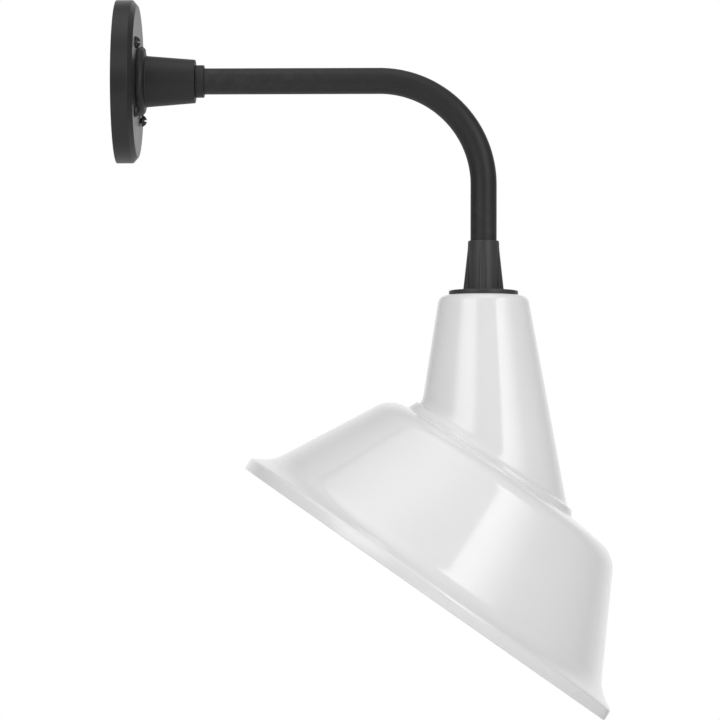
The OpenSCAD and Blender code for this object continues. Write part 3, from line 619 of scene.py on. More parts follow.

# The lighter edge colours of the black and grey finishes are partly a painted edge highlight, partly rubbed
# wear
FINISHES = {
    "canopy_black": finish(
        "canopy_powder_coat", grey(0.007), grey(0.012), (0.30, 0.38), worn_and_highlit=grey(0.07), wear_and_highlight=0.35,
        bump=0.00006, bump_strength=0.5),
    "arm_black": finish(
        "arm_powder_coat", grey(0.006), grey(0.011), (0.42, 0.52), worn_and_highlit=grey(0.07), wear_and_highlight=0.3,
        bump=0.00006, bump_strength=0.5),
    "fitter_grey": finish(
        "fitter_cast_coat", grey(0.028), grey(0.042), (0.34, 0.44), grain=900, worn_and_highlit=grey(0.10), wear_and_highlight=0.4,
        bump=0.00008, bump_strength=0.5),
    "screw_black": finish(
        "black_oxide", grey(0.005), grey(0.009), (0.3, 0.42), worn_and_highlit=grey(0.10), wear_and_highlight=0.5),
    "enamel_white": finish(
        "white_enamel", grey(0.79), grey(0.82), (0.13, 0.17), grain=600, mottle=14, share=0.2,
        worn_and_highlit=grey(0.80), wear_and_highlight=0.1, dust=0.01, bump=0.00001, bump_strength=0.15,
        Coat_Weight=0.8, Coat_Roughness=0.04),
    "gasket_rubber": finish(
        "gasket_rubber", grey(0.015), grey(0.024), (0.7, 0.85), grain=900, dust=0.1),
    "zinc_steel": finish(
        "zinc_plate", (0.50, 0.51, 0.52, 1), (0.62, 0.63, 0.63, 1), (0.28, 0.42), grain=500, mottle=90,
        worn_and_highlit=grey(0.7), Metallic=1.0),
    "ground_green": finish(
        "green_plate", (0.02, 0.13, 0.04, 1), (0.03, 0.19, 0.06, 1), (0.3, 0.42), grain=700,
        worn_and_highlit=(0.35, 0.36, 0.3, 1), Metallic=0.6),
    "brass": finish(
        "drawn_brass", (0.60, 0.42, 0.15, 1), (0.72, 0.52, 0.22, 1), (0.22, 0.36), grain=700, mottle=110,
        worn_and_highlit=(0.82, 0.66, 0.36, 1), Metallic=1.0),
    "porcelain": finish(
        "glazed_porcelain", (0.78, 0.76, 0.70, 1), (0.84, 0.82, 0.77, 1), (0.10, 0.2), grain=400, mottle=60,
        worn_and_highlit=(0.7, 0.66, 0.58, 1), dust=0.03, Coat_Weight=0.4, Coat_Roughness=0.05),
    "nylon": finish(
        "moulded_nylon", (0.62, 0.60, 0.54, 1), (0.70, 0.68, 0.62, 1), (0.4, 0.5), grain=800),
    "cable_sleeve": finish(
        "woven_sleeve", (0.05, 0.048, 0.042, 1), (0.12, 0.115, 0.10, 1), (0.75, 0.9), grain=1200, share=0.8,
        bump=0.0002, bump_strength=0.8),
    "lead_black": finish("black_insulation", grey(0.008), grey(0.013), (0.3, 0.42), grain=900),
    "lead_white": finish("white_insulation", grey(0.66), grey(0.74), (0.3, 0.42), grain=900),
    "lead_green": finish(
        "green_insulation", (0.02, 0.16, 0.05, 1), (0.03, 0.22, 0.07, 1), (0.3, 0.42), grain=900),
    "connector_orange": finish(
        "orange_moulding", (0.60, 0.16, 0.03, 1), (0.70, 0.21, 0.05, 1), (0.35, 0.5), grain=800),
    "bulb_glass": finish(
        "frosted_glass", grey(0.80), grey(0.84), (0.16, 0.24), grain=500, mottle=30, dust=0.02,
        bump=0.00001, bump_strength=0.1, Coat_Weight=0.5, Coat_Roughness=0.05),
    "bulb_cap": finish(
        "rolled_aluminium", (0.60, 0.61, 0.62, 1), (0.70, 0.71, 0.72, 1), (0.2, 0.34), grain=600, mottle=120,
        worn_and_highlit=grey(0.8), Metallic=1.0),
    "black_glass": finish("black_glass", grey(0.006), grey(0.010), (0.08, 0.16), grain=500),
}


# Wall side

def canopy():
    inner_r = CANOPY_R - CANOPY_RIM_W
    inner_x = CANOPY_DEPTH - CANOPY_FACE_T
    groove_r = CANOPY_R - CANOPY_RIM_W / 2
    groove_half = 1.2
    groove_depth = 1.5
    hole_r = PIPE_R + EASE
    outline = rounded(
        [
            (hole_r, CANOPY_DEPTH), (CANOPY_R - CANOPY_BEVEL_W, CANOPY_DEPTH),
            (CANOPY_R, CANOPY_DEPTH - CANOPY_BEVEL_H), (CANOPY_R, 0),
            (groove_r + groove_half, 0), (groove_r + groove_half, groove_depth),
            (groove_r - groove_half, groove_depth), (groove_r - groove_half, 0),
            (inner_r, 0), (inner_r, inner_x), (hole_r, inner_x),
        ],
        [0, 0.9, 1.2, 0.5, 0, 0, 0, 0, 0, 2.5, 0])
    made = lathe("wall_canopy", outline, off_wall(), 224)
    piece("wall_canopy", made, "canopy_black", "wall_side", "canopy")


def slot_cutters(radius, height, recess):
    """A slot right across a round head and a shorter one across that."""
    arms = []
    width = 0.28 * radius
    long_slot, short_slot = 2.2 * radius, 1.24 * radius
    for turn, length in ((0, long_slot), (math.pi / 2, short_slot)):
        mesh = bmesh.new()
        bmesh.ops.create_cube(mesh, size=1)
        mesh.transform(
            Matrix.Rotation(turn, 4, "Z") @ Matrix.Translation((0, 0, height))
            @ Matrix.Diagonal((length, width, 2 * recess, 1)))
        arms.append(finished(mesh, "slot_cutter"))
    return arms


def round_head_screw(name, shaft_r, shaft_len, head_r, head_h, pitch, finish_name):
    """Round-head screw with a slot, a shorter cross slot and a cut thread; its seat is at z = 0."""
    ball_r = (head_r * head_r + head_h * head_h) / (2 * head_h)
    edge = math.asin(min(head_r / ball_r, 1))
    steps = 14
    turns = [edge * (1 - k / steps) for k in range(1, steps + 1)]
    dome = [(ball_r * math.sin(turn), head_h - ball_r + ball_r * math.cos(turn)) for turn in turns]
    root_r = shaft_r - 0.35
    outline = [
        (0, -shaft_len), (root_r, -shaft_len), (root_r, -0.6), (shaft_r, -0.4), (shaft_r, 0),
        (head_r - 0.3, 0), (head_r, 0.35), *dome,
    ]
    body = lathe(name, outline, steps=48)
    for arm in slot_cutters(head_r, head_h, 0.5 * head_h):
        body = cut(body, arm)
    thread_start = 1
    thread_end = 1.4
    depth = 0.28
    wound = grown(
        name + "_thread", TREES["thread"],
        {
            "Radius": (shaft_r - depth) * MM, "Pitch": pitch * MM,
            "Turns": (shaft_len - thread_start - thread_end) / pitch, "Depth": depth * MM,
            "Sides": 6, "Finish": FINISHES[finish_name],
        })
    wound.transform(Matrix.Translation((0, 0, (-shaft_len + thread_start) * MM)))
    return joined(name, [body, wound])


def canopy_screws():
    """Four screws; the one low on the far side is slack and stands out of its seat."""
    screw = round_head_screw(
        "canopy_screw", SCREW_R, CANOPY_DEPTH - 0.5, SCREW_HEAD_R, SCREW_HEAD_H, 1.1, "screw_black")
    screw.transform(Matrix.Rotation(SLOT_TURN, 4, "Z"))
    pattern = shown("screw_pattern", screw)
    made = grown(
        "canopy_screw_set", TREES["copies"],
        {
            "Shape": pattern, "Count": 4, "Radius": SCREW_CIRCLE_R * MM, "Start": SCREW_TURN,
            "Stand Off": SLACK_SCREW_GAP * MM, "Finish": FINISHES["screw_black"],
        })
    bpy.data.objects.remove(pattern)
    made.transform(off_wall(CANOPY_DEPTH * MM))
    piece("canopy_screw_set", made, "screw_black", "wall_side", "canopy_screws")


def wall_hub():
    hole_r = PIPE_R + EASE
    groove_in, groove_out = HUB_BASE_R + 1.5, HUB_BASE_R + 4
    groove_depth = 1.2
    length = HUB_NOSE_X - CANOPY_DEPTH
    outline = rounded(
        [
            (hole_r, 0), (groove_in, 0), (groove_in, groove_depth), (groove_out, groove_depth),
            (groove_out, 0), (HUB_FLANGE_R, 0), (HUB_FLANGE_R, HUB_FLANGE_T), (HUB_BASE_R, HUB_FLANGE_T),
            (HUB_NOSE_R, length), (hole_r, length),
        ],
        [0, 0, 0, 0, 0, 0.4, 4.8, 0.9, 0.7, 0])
    hub = lathe("tapered_hub", outline, off_wall(CANOPY_DEPTH), 160)
    low, high = -30, -12
    bore = lathe(
        "screw_bore", [(0, low), (HUB_SCREW_R, low), (HUB_SCREW_R, high), (0, high)],
        Matrix.Translation((CANOPY_DEPTH + length / 2, 0, 0)), 48)
    piece("tapered_hub", cut(hub, bore), "arm_black", "wall_side", "wall_hub")


def arm_collar():
    length = COLLAR_X - HUB_NOSE_X
    hole_r = PIPE_R + EASE
    outline = rounded(
        [(hole_r, 0), (COLLAR_R, 0), (COLLAR_R, length), (hole_r, length)], [0, 0.5, 0.7, 0.2])
    made = lathe("collar_ring", outline, off_wall(HUB_NOSE_X), 128)
    piece("collar_ring", made, "arm_black", "wall_side", "arm_collar")


def arm():
    skin = grown(
        "pipe_arm", TREES["pipe"],
        {
            "Tail": PIPE_TAIL_X * MM, "Reach": ARM_REACH * MM, "Drop": -PIPE_END_Z * MM,
            "Bend Radius": BEND_R * MM, "Pipe Radius": PIPE_R * MM, "Finish": FINISHES["arm_black"],
        })
    pipe = shown("pipe_arm", skin)
    wall = pipe.modifiers.new("wall", "SOLIDIFY")
    wall.thickness = PIPE_WALL * MM
    wall.offset = -1
    made = settled(pipe)
    thread = grown(
        "tail_thread", TREES["thread"],
        {
            "Radius": (PIPE_R - 0.25) * MM, "Pitch": 1.81 * MM, "Turns": 5.0, "Depth": 0.45 * MM,
            "Sides": 6, "Finish": FINISHES["arm_black"],
        })
    thread.transform(off_wall((PIPE_TAIL_X + 0.6) * MM))
    piece("pipe_arm", joined("pipe_arm", [made, thread]), "arm_black", "wall_side", "arm")


def wire_connectors():
    """Twist-on connectors, ribbed for the fingers."""
    low, high = span("wire_connectors")
    radius = (high.x - low.x) / 2
    length = high.z - low.z
    side = high.y - radius
    hole_r = 1.35
    hole_depth = 5.5
    outline = rounded(
        [
            (0, hole_depth), (hole_r, hole_depth), (hole_r, 0), (radius - 0.5, 0), (radius - 1, length / 3),
            (radius - 2.3, length), (0, length),
        ],
        [0, 0, 0, 0.5, 1, 1.2, 0])
    barrel = lathe("connector_barrel", outline, steps=64)
    rib = bmesh.new()
    bmesh.ops.create_cube(rib, size=1)
    rib.transform(
        Matrix.Translation((radius - 1.05, 0, length * 0.36)) @ Matrix.Rotation(math.radians(-4), 4, "Y")
        @ Matrix.Diagonal((1.1, 0.8, length * 0.6, 1)))
    bmesh.ops.bevel(rib, geom=rib.edges, offset=0.25, segments=2, affect="EDGES")
    pattern = shown("connector_rib", finished(rib, "connector_rib"))
    ribs = grown(
        "connector_ribs", TREES["copies"],
        {
            "Shape": pattern, "Count": 12, "Radius": 0.0, "Start": 0.0, "Stand Off": 0.0,
            "Finish": FINISHES["connector_orange"],
        })
    bpy.data.objects.remove(pattern)
    one = joined("connector", [barrel, ribs])
    both = []
    for s in (-1, 1):
        copy = one.copy()
        copy.transform(Matrix.Translation(((low.x + radius) * MM, s * side * MM, low.z * MM)))
        both.append(copy)
    pair = joined("connector_pair", both)
    piece("connector_pair", pair, "connector_orange", "wall_side", "wire_connectors")


# Fitter

def ribbed_section(core_r, rib_r, height):
    """Ring of points round a core with four flat ribs; every section has as many points."""
    ring = []
    foot = math.sqrt(core_r ** 2 - RIB_HALF ** 2)
    rise = max(rib_r - foot, 0.05)
    inner_round = min(1.0, 0.45 * rise)
    outer_round = min(0.7, 0.45 * rise)
    gap_steps = 16
    arc_steps = 5
    lead = math.asin(RIB_HALF / core_r) + 0.12
    for k in range(4):
        turn = Matrix.Rotation(k * math.pi / 2, 2)
        root = [Vector((foot, -RIB_HALF)), Vector((foot, RIB_HALF))]
        tip = [Vector((foot + rise, -RIB_HALF)), Vector((foot + rise, RIB_HALF))]
        lead_in = Vector((math.cos(-lead), math.sin(-lead))) * core_r
        lead_out = Vector((math.cos(lead), math.sin(lead))) * core_r
        outline = (
            [lead_in] + arc_corner(lead_in, root[0], tip[0], inner_round, arc_steps)[1:-1]
            + arc_corner(root[0], tip[0], tip[1], outer_round, arc_steps)[1:-1]
            + [tip[0].lerp(tip[1], share) for share in (0.36, 0.5, 0.64)]
            + arc_corner(tip[0], tip[1], root[1], outer_round, arc_steps)[1:-1]
            + arc_corner(tip[1], root[1], lead_out, inner_round, arc_steps)[1:-1] + [lead_out])
        for step in range(1, gap_steps):
            angle = lead + (math.pi / 2 - 2 * lead) * step / gap_steps
            outline.append(Vector((math.cos(angle), math.sin(angle))) * core_r)
        ring += [Vector((*(turn @ p), height)) for p in outline]
    return ring


def fitter():
    """Cast fitter: bore for the pipe, four ribs that widen to the foot, and a thin flange."""
    foot = -FITTER_LEN + FLANGE_T + BOSS_H
    flange_top = -FITTER_LEN + FLANGE_T
    bore_r = PIPE_R + TURN_FIT
    rib_top = -2.0

    def rib_r(z):
        share = min(max((-FITTER_COLLAR_LEN - z) / (-FITTER_COLLAR_LEN - foot), 0), 1)
        return FITTER_COLLAR_R + (RIB_FOOT_R - FITTER_COLLAR_R) * share + RIB_PROUD

    template = [math.atan2(p.y, p.x) for p in ribbed_section(FITTER_COLLAR_R, RIB_FOOT_R, 0)]

    def plain(radius, height):
        return [Vector((radius * math.cos(a), radius * math.sin(a), height)) for a in template]

    top = rounded(
        [(bore_r, 0), (FITTER_COLLAR_R, 0), (FITTER_COLLAR_R, rib_top)], [0.3, 0.6, 0], 4)
    low = rounded(
        [
            (BOSS_R - 0.5, foot), (BOSS_R, flange_top + 0.15), (BOSS_R + 0.5, flange_top),
            (FITTER_FLANGE_R, flange_top), (FITTER_FLANGE_R, -FITTER_LEN), (NIPPLE_HOLE_R, -FITTER_LEN),
            (NIPPLE_HOLE_R, -FITTER_LEN + NIPPLE_HOLE_H), (WIRE_BORE_R, -FITTER_LEN + NIPPLE_HOLE_H),
            (WIRE_BORE_R, -FITTER_BORE), (bore_r, -FITTER_BORE),
        ],
        [0.2, 0, 0, 0.9, 0.5, 0, 0, 0, 0, 0], 6)
    body_rows = 14
    heights = [rib_top + (foot - rib_top) * (k / body_rows) for k in range(body_rows + 1)]
    rings = [plain(r, z) for r, z in top[2:-1]]
    rings += [ribbed_section(FITTER_COLLAR_R, rib_r(z), z) for z in heights]
    rings += [plain(r, z) for r, z in low[1:]]
    rings.append(plain(bore_r, top[1].y - 0.6))
    body = stacked("ribbed_fitter", rings, on_drop(FITTER_TOP), 40)
    boss_start = bore_r + 0.25
    boss_len = FITTER_COLLAR_R + SCREW_BOSS_H - boss_start
    boss_out = rounded(
        [(0, 0), (SCREW_BOSS_R, 0), (SCREW_BOSS_R, boss_len), (0, boss_len)], [0, 0, 0.6, 0], 5)
    boss_place = (
        on_drop(FITTER_TOP) @ Matrix.Translation((0, boss_start, SCREW_BOSS_Z))
        @ Matrix.Rotation(-math.pi / 2, 4, "X"))
    boss = lathe("screw_boss", boss_out, boss_place, 48)
    piece("ribbed_fitter", joined("ribbed_fitter", [body, boss]), "fitter_grey", "shade", "fitter")


# Shade

RIM_PLACE = Matrix.Translation((RIM_X, 0, RIM_Z)) @ Matrix.Rotation(TILT, 4, "Y")
RIM_PLACE_BACK = RIM_PLACE.inverted()


def neck_point(turn, z, inset):
    """Point of the neck's side, in the rim's tilted frame."""
    drop = NECK_TOP - z
    radius = NECK_R + drop * NECK_SLOPE - inset * math.sqrt(1 + NECK_SLOPE ** 2)
    middle = ARM_REACH + NECK_LEAN * drop
    return RIM_PLACE_BACK @ Vector((middle + radius * math.cos(turn), radius * math.sin(turn), z))


def neck_at_height(turn, height, inset):
    """Point of the neck's side at a height over the rim's plane."""
    high, low = neck_point(turn, NECK_TOP, inset), neck_point(turn, NECK_TOP - 100, inset)
    return high.lerp(low, (high.z - height) / (high.z - low.z))


def dish_outline(inset):
    """Section of the dish from its crown to the rim's edge, moved inwards."""
    line = rounded(
        [CROWN_START, CROWN_KNEE, SHOULDER_CORNER, FLARE_CORNER, (RIM_R, RIM_BAND_H), (RIM_R, 0)],
        [0, 250, 26, 35, 3.5, 0], 14)
    return beside(line, inset)


def crown_height(line, radius):
    """Height of a dish section at a radius inside its shoulder."""
    for a, b in zip(line, line[1:]):
        if radius <= b.x:
            return a.y + (b.y - a.y) * (radius - a.x) / (b.x - a.x)
    return line[-1].y


def seam_spoke(turn, line, inset):
    """Line across the seam at one bearing: down the neck, over the raised collar and onto the crown."""

    def on_crown(point):
        height = crown_height(line, math.hypot(point.x + DISH_SHEAR * SEAM_H, point.y))
        return Vector((point.x, point.y, height))

    step = 0.01
    to_side = math.cos(turn) ** 2
    top = SEAM_H - FRONT_DIP * (1 - to_side) - inset
    here = neck_at_height(turn, top, inset)
    ahead = neck_at_height(turn + step, top, inset)
    tangent = (ahead - here).normalized()
    outward = Vector((tangent.y, -tangent.x, 0))
    ledge = here + outward * LEDGE_W - Vector((0, 0, LEDGE_DROP * (1 - to_side)))
    root = on_crown(ledge + outward * COLLAR_FOOT_W * to_side)
    beyond = 4
    out = on_crown(root + outward * beyond)
    crest = arc_corner(here, ledge, root, CREST_R, 7)
    foot = arc_corner(ledge, root, out, 0.6 + 0.9 * to_side, 6)
    flare = FLARE_H * (1 - 0.75 * max(math.cos(turn), 0) ** 2)
    above = neck_at_height(turn, top + flare, inset)
    rows = 9
    curve = [
        above * (1 - k / rows) ** 2 + here * (2 * k / rows * (1 - k / rows)) + crest[0] * (k / rows) ** 2
        for k in range(rows)
    ]
    return curve + crest + foot + [out]


def shade_rings(inset):
    """Rings of one skin of the shade, from the nipple hole to the rim's edge."""
    turns = [2 * math.pi * k / SHADE_SIDES for k in range(SHADE_SIDES)]
    top = NECK_TOP - inset
    side = 40
    edge = rounded(
        [(NECK_HOLE_R, top), (NECK_R - inset, top), (NECK_R - inset + side * NECK_SLOPE, top - side)],
        [0, NECK_EDGE_R - inset, 0], 14)
    rings = []
    for radius, z in edge[:-1]:
        middle = ARM_REACH + NECK_LEAN * (NECK_TOP - z)
        rings.append([
            RIM_PLACE_BACK @ Vector((middle + radius * math.cos(t), radius * math.sin(t), z)) for t in turns])
    line = dish_outline(inset)
    spokes = [seam_spoke(t, line, inset) for t in turns]
    side_rows = 10
    arc_end = rings[-1]
    for row in range(1, side_rows):
        rings.append([a.lerp(spoke[0], row / side_rows) for a, spoke in zip(arc_end, spokes)])
    rings += [list(ring) for ring in zip(*spokes)]
    crown_rows = 26
    crowding = 1.4
    starts = [Vector((spoke[-1].x + DISH_SHEAR * spoke[-1].z, spoke[-1].y)) for spoke in spokes]
    centre = Vector(((starts[0].x + starts[SHADE_SIDES // 2].x) / 2, 0))
    bearings = []
    for start in starts:
        ray = (start - centre).normalized()
        along = ray.dot(centre)
        reach = -along + math.sqrt(along ** 2 + CROWN_END_R ** 2 - centre.length_squared)
        end = centre + ray * reach
        bearings.append(math.atan2(end.y, end.x))
    ends = [Vector((CROWN_END_R * math.cos(b), CROWN_END_R * math.sin(b))) for b in bearings]
    for row in range(1, crown_rows + 1):
        share = 1 - (1 - row / crown_rows) ** crowding
        ring = []
        for start, end in zip(starts, ends):
            at = start.lerp(end, share)
            height = crown_height(line, at.length)
            ring.append(Vector((at.x - DISH_SHEAR * height, at.y, height)))
        rings.append(ring)
    under_shoulder = 60
    for point in line:
        if point.x > CROWN_END_R + 0.5 or point.y < under_shoulder:
            rings.append([
                Vector((point.x * math.cos(b) - DISH_SHEAR * point.y, point.x * math.sin(b), point.y))
                for b in bearings])
    return rings


def enamel_shade():
    """Neck, raised seam and dish in one sheet, with its edge turned at the rim."""
    outer = shade_rings(0)
    inner = shade_rings(SHADE_WALL)
    edge_steps = 6
    middle_r = RIM_R - SHADE_WALL / 2
    half = SHADE_WALL / 2
    turned = []
    for k in range(1, edge_steps):
        angle = math.pi * k / edge_steps
        radius = middle_r + half * math.cos(angle)
        drop = half * math.sin(angle)
        turned.append([
            Vector((p.x * radius / RIM_R, p.y * radius / RIM_R, half - drop)) for p in outer[-1]])
    for ring in (outer[-1], inner[-1]):
        for p in ring:
            p.z = half
    rings = outer + turned + inner[::-1]
    made = stacked("enamel_shade", rings, RIM_PLACE, 60)
    piece("enamel_shade", made, "enamel_white", "shade", "shade_neck", "shade_dish")


# Lampholder and bulb

def lampholder():
    cavity_r = 15.2
    cavity_top = -19
    skirt_r = 19.5
    outline = rounded(
        [
            (0, 0), (HOLDER_R, 0), (HOLDER_R, -13), (skirt_r, -16.5), (skirt_r, -HOLDER_H),
            (cavity_r, -HOLDER_H), (cavity_r, cavity_top), (0, cavity_top),
        ],
        [0, 1.5, 2, 3, 1.5, 0.6, 0, 0])
    made = lathe("porcelain_holder", outline, on_drop(HOLDER_TOP), 128)
    piece("porcelain_holder", made, "porcelain", "shade", "lampholder")


def bulb():
    throat_r = CAP_R - 0.55
    tip = -BULB_LEN + CAP_LEN
    outer = rounded(
        [(throat_r, 3), (throat_r, -10), (BULB_R, -36), (BULB_R, tip), (0, tip)],
        [0, 25, 45, BULB_R, 0], 20)
    line = [p for p in outer if p.x > 0.2][:-1]
    glass_t = 0.8
    inner = [Vector((max(p.x, 0), p.y)) for p in beside(line, glass_t)]
    outline = line + [Vector((0, tip)), Vector((0, tip + glass_t))] + inner[::-1]
    glass = lathe("bulb_envelope", outline, on_drop(BULB_TOP - CAP_LEN), 112)
    piece("bulb_envelope", glass, "bulb_glass", "bulb", "bulb_glass")
    cap_wall = 0.4
    root = CAP_R - 0.9
    sleeve = rounded(
        [
            (0, -5.2), (root - 2.2, -5.2), (root, -8.2), (root, -CAP_LEN), (root - cap_wall, -CAP_LEN),
            (root - cap_wall, -8.4), (root - 2.4, -5.6), (0, -5.6),
        ],
        [0, 0.6, 0.8, 0, 0, 0, 0, 0], 4)
    thread = grown(
        "cap_thread", TREES["thread"],
        {
            "Radius": (CAP_R - 1.05) * MM, "Pitch": 3.62 * MM, "Turns": 3.8, "Depth": 1.05 * MM,
            "Sides": 12, "Finish": FINISHES["bulb_cap"],
        })
    thread.transform(on_drop_metres(BULB_TOP - CAP_LEN + 2.2))
    cap = joined("threaded_cap", [lathe("threaded_cap", sleeve, on_drop(BULB_TOP), 96), thread])
    piece("threaded_cap", cap, "bulb_cap", "bulb", "bulb_cap")


def on_drop_metres(z):
    """Place on the vertical pipe's middle line, for a mesh that is in metres already."""
    return Matrix.Translation((ARM_REACH * MM, 0, z * MM))


def nipple():
    low, high = span("nipple")
    radius = (high.x - low.x) / 2
    outline = [
        (WIRE_BORE_R, 0), (radius - 0.5, 0), (radius - 0.35, 0.4), (radius - 0.35, high.z - low.z),
        (WIRE_BORE_R, high.z - low.z),
    ]
    thread = grown(
        "nipple_thread", TREES["thread"],
        {
            "Radius": (radius - 0.38) * MM, "Pitch": 0.94 * MM, "Turns": (high.z - low.z - 1.4) / 0.94,
            "Depth": 0.36 * MM, "Sides": 6, "Finish": FINISHES["brass"],
        })
    thread.transform(on_drop_metres(low.z + 0.7))
    made = joined("threaded_nipple", [lathe("threaded_nipple", outline, on_drop(low.z), 64), thread])
    piece("threaded_nipple", made, "brass", "shade", "nipple")


# Small pieces that keep their CAD form

def dressed(node, name, finish_name, body, bevel=0):
    """Merged copy of a CAD node, its edges broken where a bevel is given."""
    mesh = bmesh.new()
    mesh.from_mesh(frame["nodes"][node].data)
    bmesh.ops.remove_doubles(mesh, verts=mesh.verts, dist=0.000005)
    bmesh.ops.dissolve_limit(mesh, angle_limit=math.radians(1), verts=mesh.verts, edges=mesh.edges)
    bmesh.ops.recalc_face_normals(mesh, faces=mesh.faces)
    made = as_mesh(mesh, name)
    if bevel:
        obj = shown(name, made)
        step = obj.modifiers.new("edges", "BEVEL")
        step.width = bevel * MM
        step.segments = 2
        step.limit_method = "ANGLE"
        step.angle_limit = math.radians(50)
        made = settled(obj)
    piece(name, smoothed(made), finish_name, body, node)


SMALL_PIECES = [
    ("mounting_plate", "slotted_plate", "zinc_steel", "wall_side", 0.3),
    ("ground_screw", "ground_screw_head", "ground_green", "wall_side"),
    ("ground_terminal", "ring_terminal", "zinc_steel", "wall_side", 0.12),
    ("hub_set_screw", "hub_grub_screw", "screw_black", "wall_side", 0.15),
    ("arm_washer", "washer_ring", "zinc_steel", "wall_side", 0.2),
    ("arm_locknut", "pipe_locknut", "zinc_steel", "wall_side", 0.4),
    ("wall_bushing", "tail_bushing", "nylon", "wall_side", 0.25),
    ("end_bushing", "drop_bushing", "nylon", "wall_side", 0.25),
    ("lead_black", "black_supply_lead", "lead_black", "wall_side"),
    ("lead_white", "white_supply_lead", "lead_white", "wall_side"),
    ("lead_ground", "green_ground_lead", "lead_green", "wall_side"),
    ("arm_cable", "sleeved_cable", "cable_sleeve", "wall_side"),
    ("fitter_set_screw", "fitter_grub_screw", "screw_black", "shade", 0.12),
    ("nipple_washer", "nipple_washer_ring", "zinc_steel", "shade", 0.2),
    ("nipple_locknut", "nipple_hex_nut", "brass", "shade", 0.35),
    ("holder_bracket", "holder_strap", "zinc_steel", "shade", 0.25),
    ("holder_screws", "holder_screw_pair", "zinc_steel", "shade"),
    ("screw_shell", "brass_screw_shell", "brass", "shade", 0.1),
    ("centre_contact", "spring_contact", "brass", "shade", 0.15),
    ("shade_cable", "sleeved_tail", "cable_sleeve", "shade"),
    ("holder_leads", "holder_lead_pair", "lead_black", "shade"),
    ("bulb_contact", "bulb_tip", "zinc_steel", "bulb"),
    ("bulb_insulator", "bulb_insulator_ring", "black_glass", "bulb", 0.15),
    ("wall_gasket", "wall_seal", "gasket_rubber", "wall_side", 0.3),
    ("hub_gasket", "hub_seal", "gasket_rubber", "wall_side", 0.25),
    ("fitter_gasket", "fitter_seal", "gasket_rubber", "shade", 0.2),
]


# Stage, light and view

def world():
    """White to the eye and through glass; a gloss sees it white behind the light only."""
    made = bpy.data.worlds.new("studio")
    bpy.context.scene.world = made
    tree = cleared(made)
    path = add(tree, "ShaderNodeLightPath").outputs
    seen = math_node(tree, "MAXIMUM", path["Is Camera Ray"], path["Is Transmission Ray"])
    ray = add(tree, "ShaderNodeTexCoord").outputs["Generated"]
    ahead = add(tree, "ShaderNodeSeparateXYZ", {0: ray}).outputs[1]
    behind = add(
        tree, "ShaderNodeMapRange",
        {0: ahead, 1: WORLD_BEHIND_FROM, 2: WORLD_BEHIND_FULL, 3: WORLD_GLOSS, 4: WORLD_BEHIND},
        interpolation_type="SMOOTHSTEP").outputs[0]
    unseen = add(tree, "ShaderNodeMix", {0: path["Is Glossy Ray"], 2: WORLD_FILL, 3: behind}).outputs[0]
    level = add(tree, "ShaderNodeMix", {0: seen, 2: unseen, 3: 1.0}).outputs[0]
    sky = add(tree, "ShaderNodeBackground", {"Color": grey(1), "Strength": level})
    add(tree, "ShaderNodeOutputWorld", {"Surface": sky.outputs[0]})


def floor():
    """Pale floor under the light, clear when seen from below."""
    mesh = bmesh.new()
    bmesh.ops.create_circle(mesh, cap_ends=True, segments=96, radius=FLOOR_R)
    made = as_mesh(mesh, "floor")
    ground = shown("floor", made)
    ground.location = (0.2, 0, FLOOR_Z)
    pale = bpy.data.materials.new("pale_floor")
    tree = cleared(pale)
    paint = add(tree, "ShaderNodeBsdfPrincipled", {"Base Color": grey(0.86), "Roughness": 0.8})
    clear = add(tree, "ShaderNodeBsdfTransparent")
    under = add(tree, "ShaderNodeNewGeometry").outputs["Backfacing"]
    both = add(tree, "ShaderNodeMixShader", {0: under, 1: paint.outputs[0], 2: clear.outputs[0]})
    add(tree, "ShaderNodeOutputMaterial", {"Surface": both.outputs[0]})
    made.materials.append(pale)


def soft_share(tree, place, axis, half, low_edge, high_edge):
    """Share from 0 to 1 across a light, with a soft edge of its own at each end."""
    along = add(
        tree, "ShaderNodeVectorMath", {0: place, 1: axis / half}, operation="DOT_PRODUCT").outputs["Value"]
    sides = [
        add(tree, "ShaderNodeMapRange", {0: along, 1: end, 2: full}, interpolation_type="SMOOTHSTEP")
        for end, full in ((-1.0, -1.0 + 2 * low_edge), (1.0, 1.0 - 2 * high_edge))]
    return math_node(tree, "MULTIPLY", *(side.outputs[0] for side in sides))


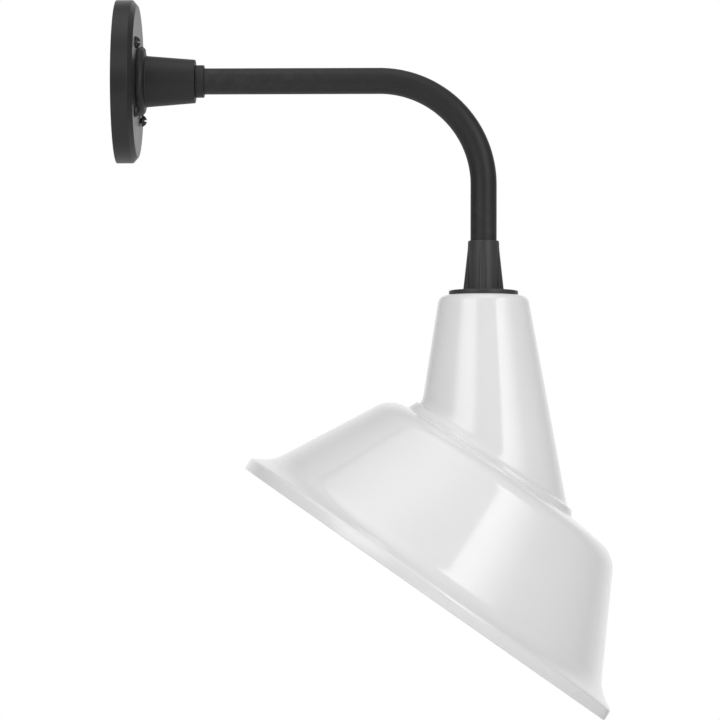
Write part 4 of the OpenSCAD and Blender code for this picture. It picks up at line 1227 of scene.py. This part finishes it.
def softbox(name, azimuth, elevation, distance, size, radiance, across, along, roll=0):
    """Area light that faces the shade, with soft edges. Azimuth is to the right of the view, in degrees."""
    a, e = math.radians(azimuth), math.radians(elevation)
    back = Vector((math.sin(a) * math.cos(e), -math.cos(a) * math.cos(e), math.sin(e)))
    middle = Vector(LIGHT_AIM) + back * distance
    facing = back.to_track_quat("Z", "Y").to_matrix() @ Matrix.Rotation(math.radians(roll), 3, "Z")
    data = bpy.data.lights.new(name, "AREA")
    data.shape = "RECTANGLE"
    data.size, data.size_y = size
    data.energy = radiance * math.pi * size[0] * size[1]
    tree = cleared(data)
    spot = add(tree, "ShaderNodeNewGeometry").outputs["Position"]
    place = add(tree, "ShaderNodeVectorMath", {0: spot, 1: middle}, operation="SUBTRACT").outputs[0]
    shares = [
        soft_share(tree, place, facing.col[k], size[k] / 2, *edges)
        for k, edges in enumerate((across, along))]
    glow = add(tree, "ShaderNodeEmission", {"Strength": math_node(tree, "MULTIPLY", *shares)})
    add(tree, "ShaderNodeOutputLight", {"Surface": glow.outputs[0]})
    made = shown(name, data)
    made.matrix_world = Matrix.Translation(middle) @ facing.to_4x4()
    made.visible_camera = False


def camera():
    data = bpy.data.cameras.new("view")
    data.sensor_width = 36
    data.lens = CAMERA_LENS
    data.clip_end = 60
    made = shown("view", data)
    made.location = CAMERA_AT
    made.rotation_euler = [math.radians(turn) for turn in CAMERA_TURN]
    bpy.context.scene.camera = made


bpy.context.scene.view_settings.view_transform = "Standard"
camera()
world()
floor()
softbox("left_softbox", -36, 26, 2.6, (2.6, 2.6), 2.0, (0.4, 0.35), (0.4, 0.4))
softbox("right_softbox", 51, 18.5, 2.6, (1.8, 3.4), 2.4, (0.1, 0.85), (0.2, 0.1), -39)
softbox("top_softbox", -10, 80, 2.4, (3.4, 3.4), 0.92, (0.5, 0.5), (0.4, 0.4))

canopy()
canopy_screws()
wall_hub()
arm_collar()
arm()
wire_connectors()
fitter()
enamel_shade()
lampholder()
bulb()
nipple()
for small in SMALL_PIECES:
    dressed(*small)
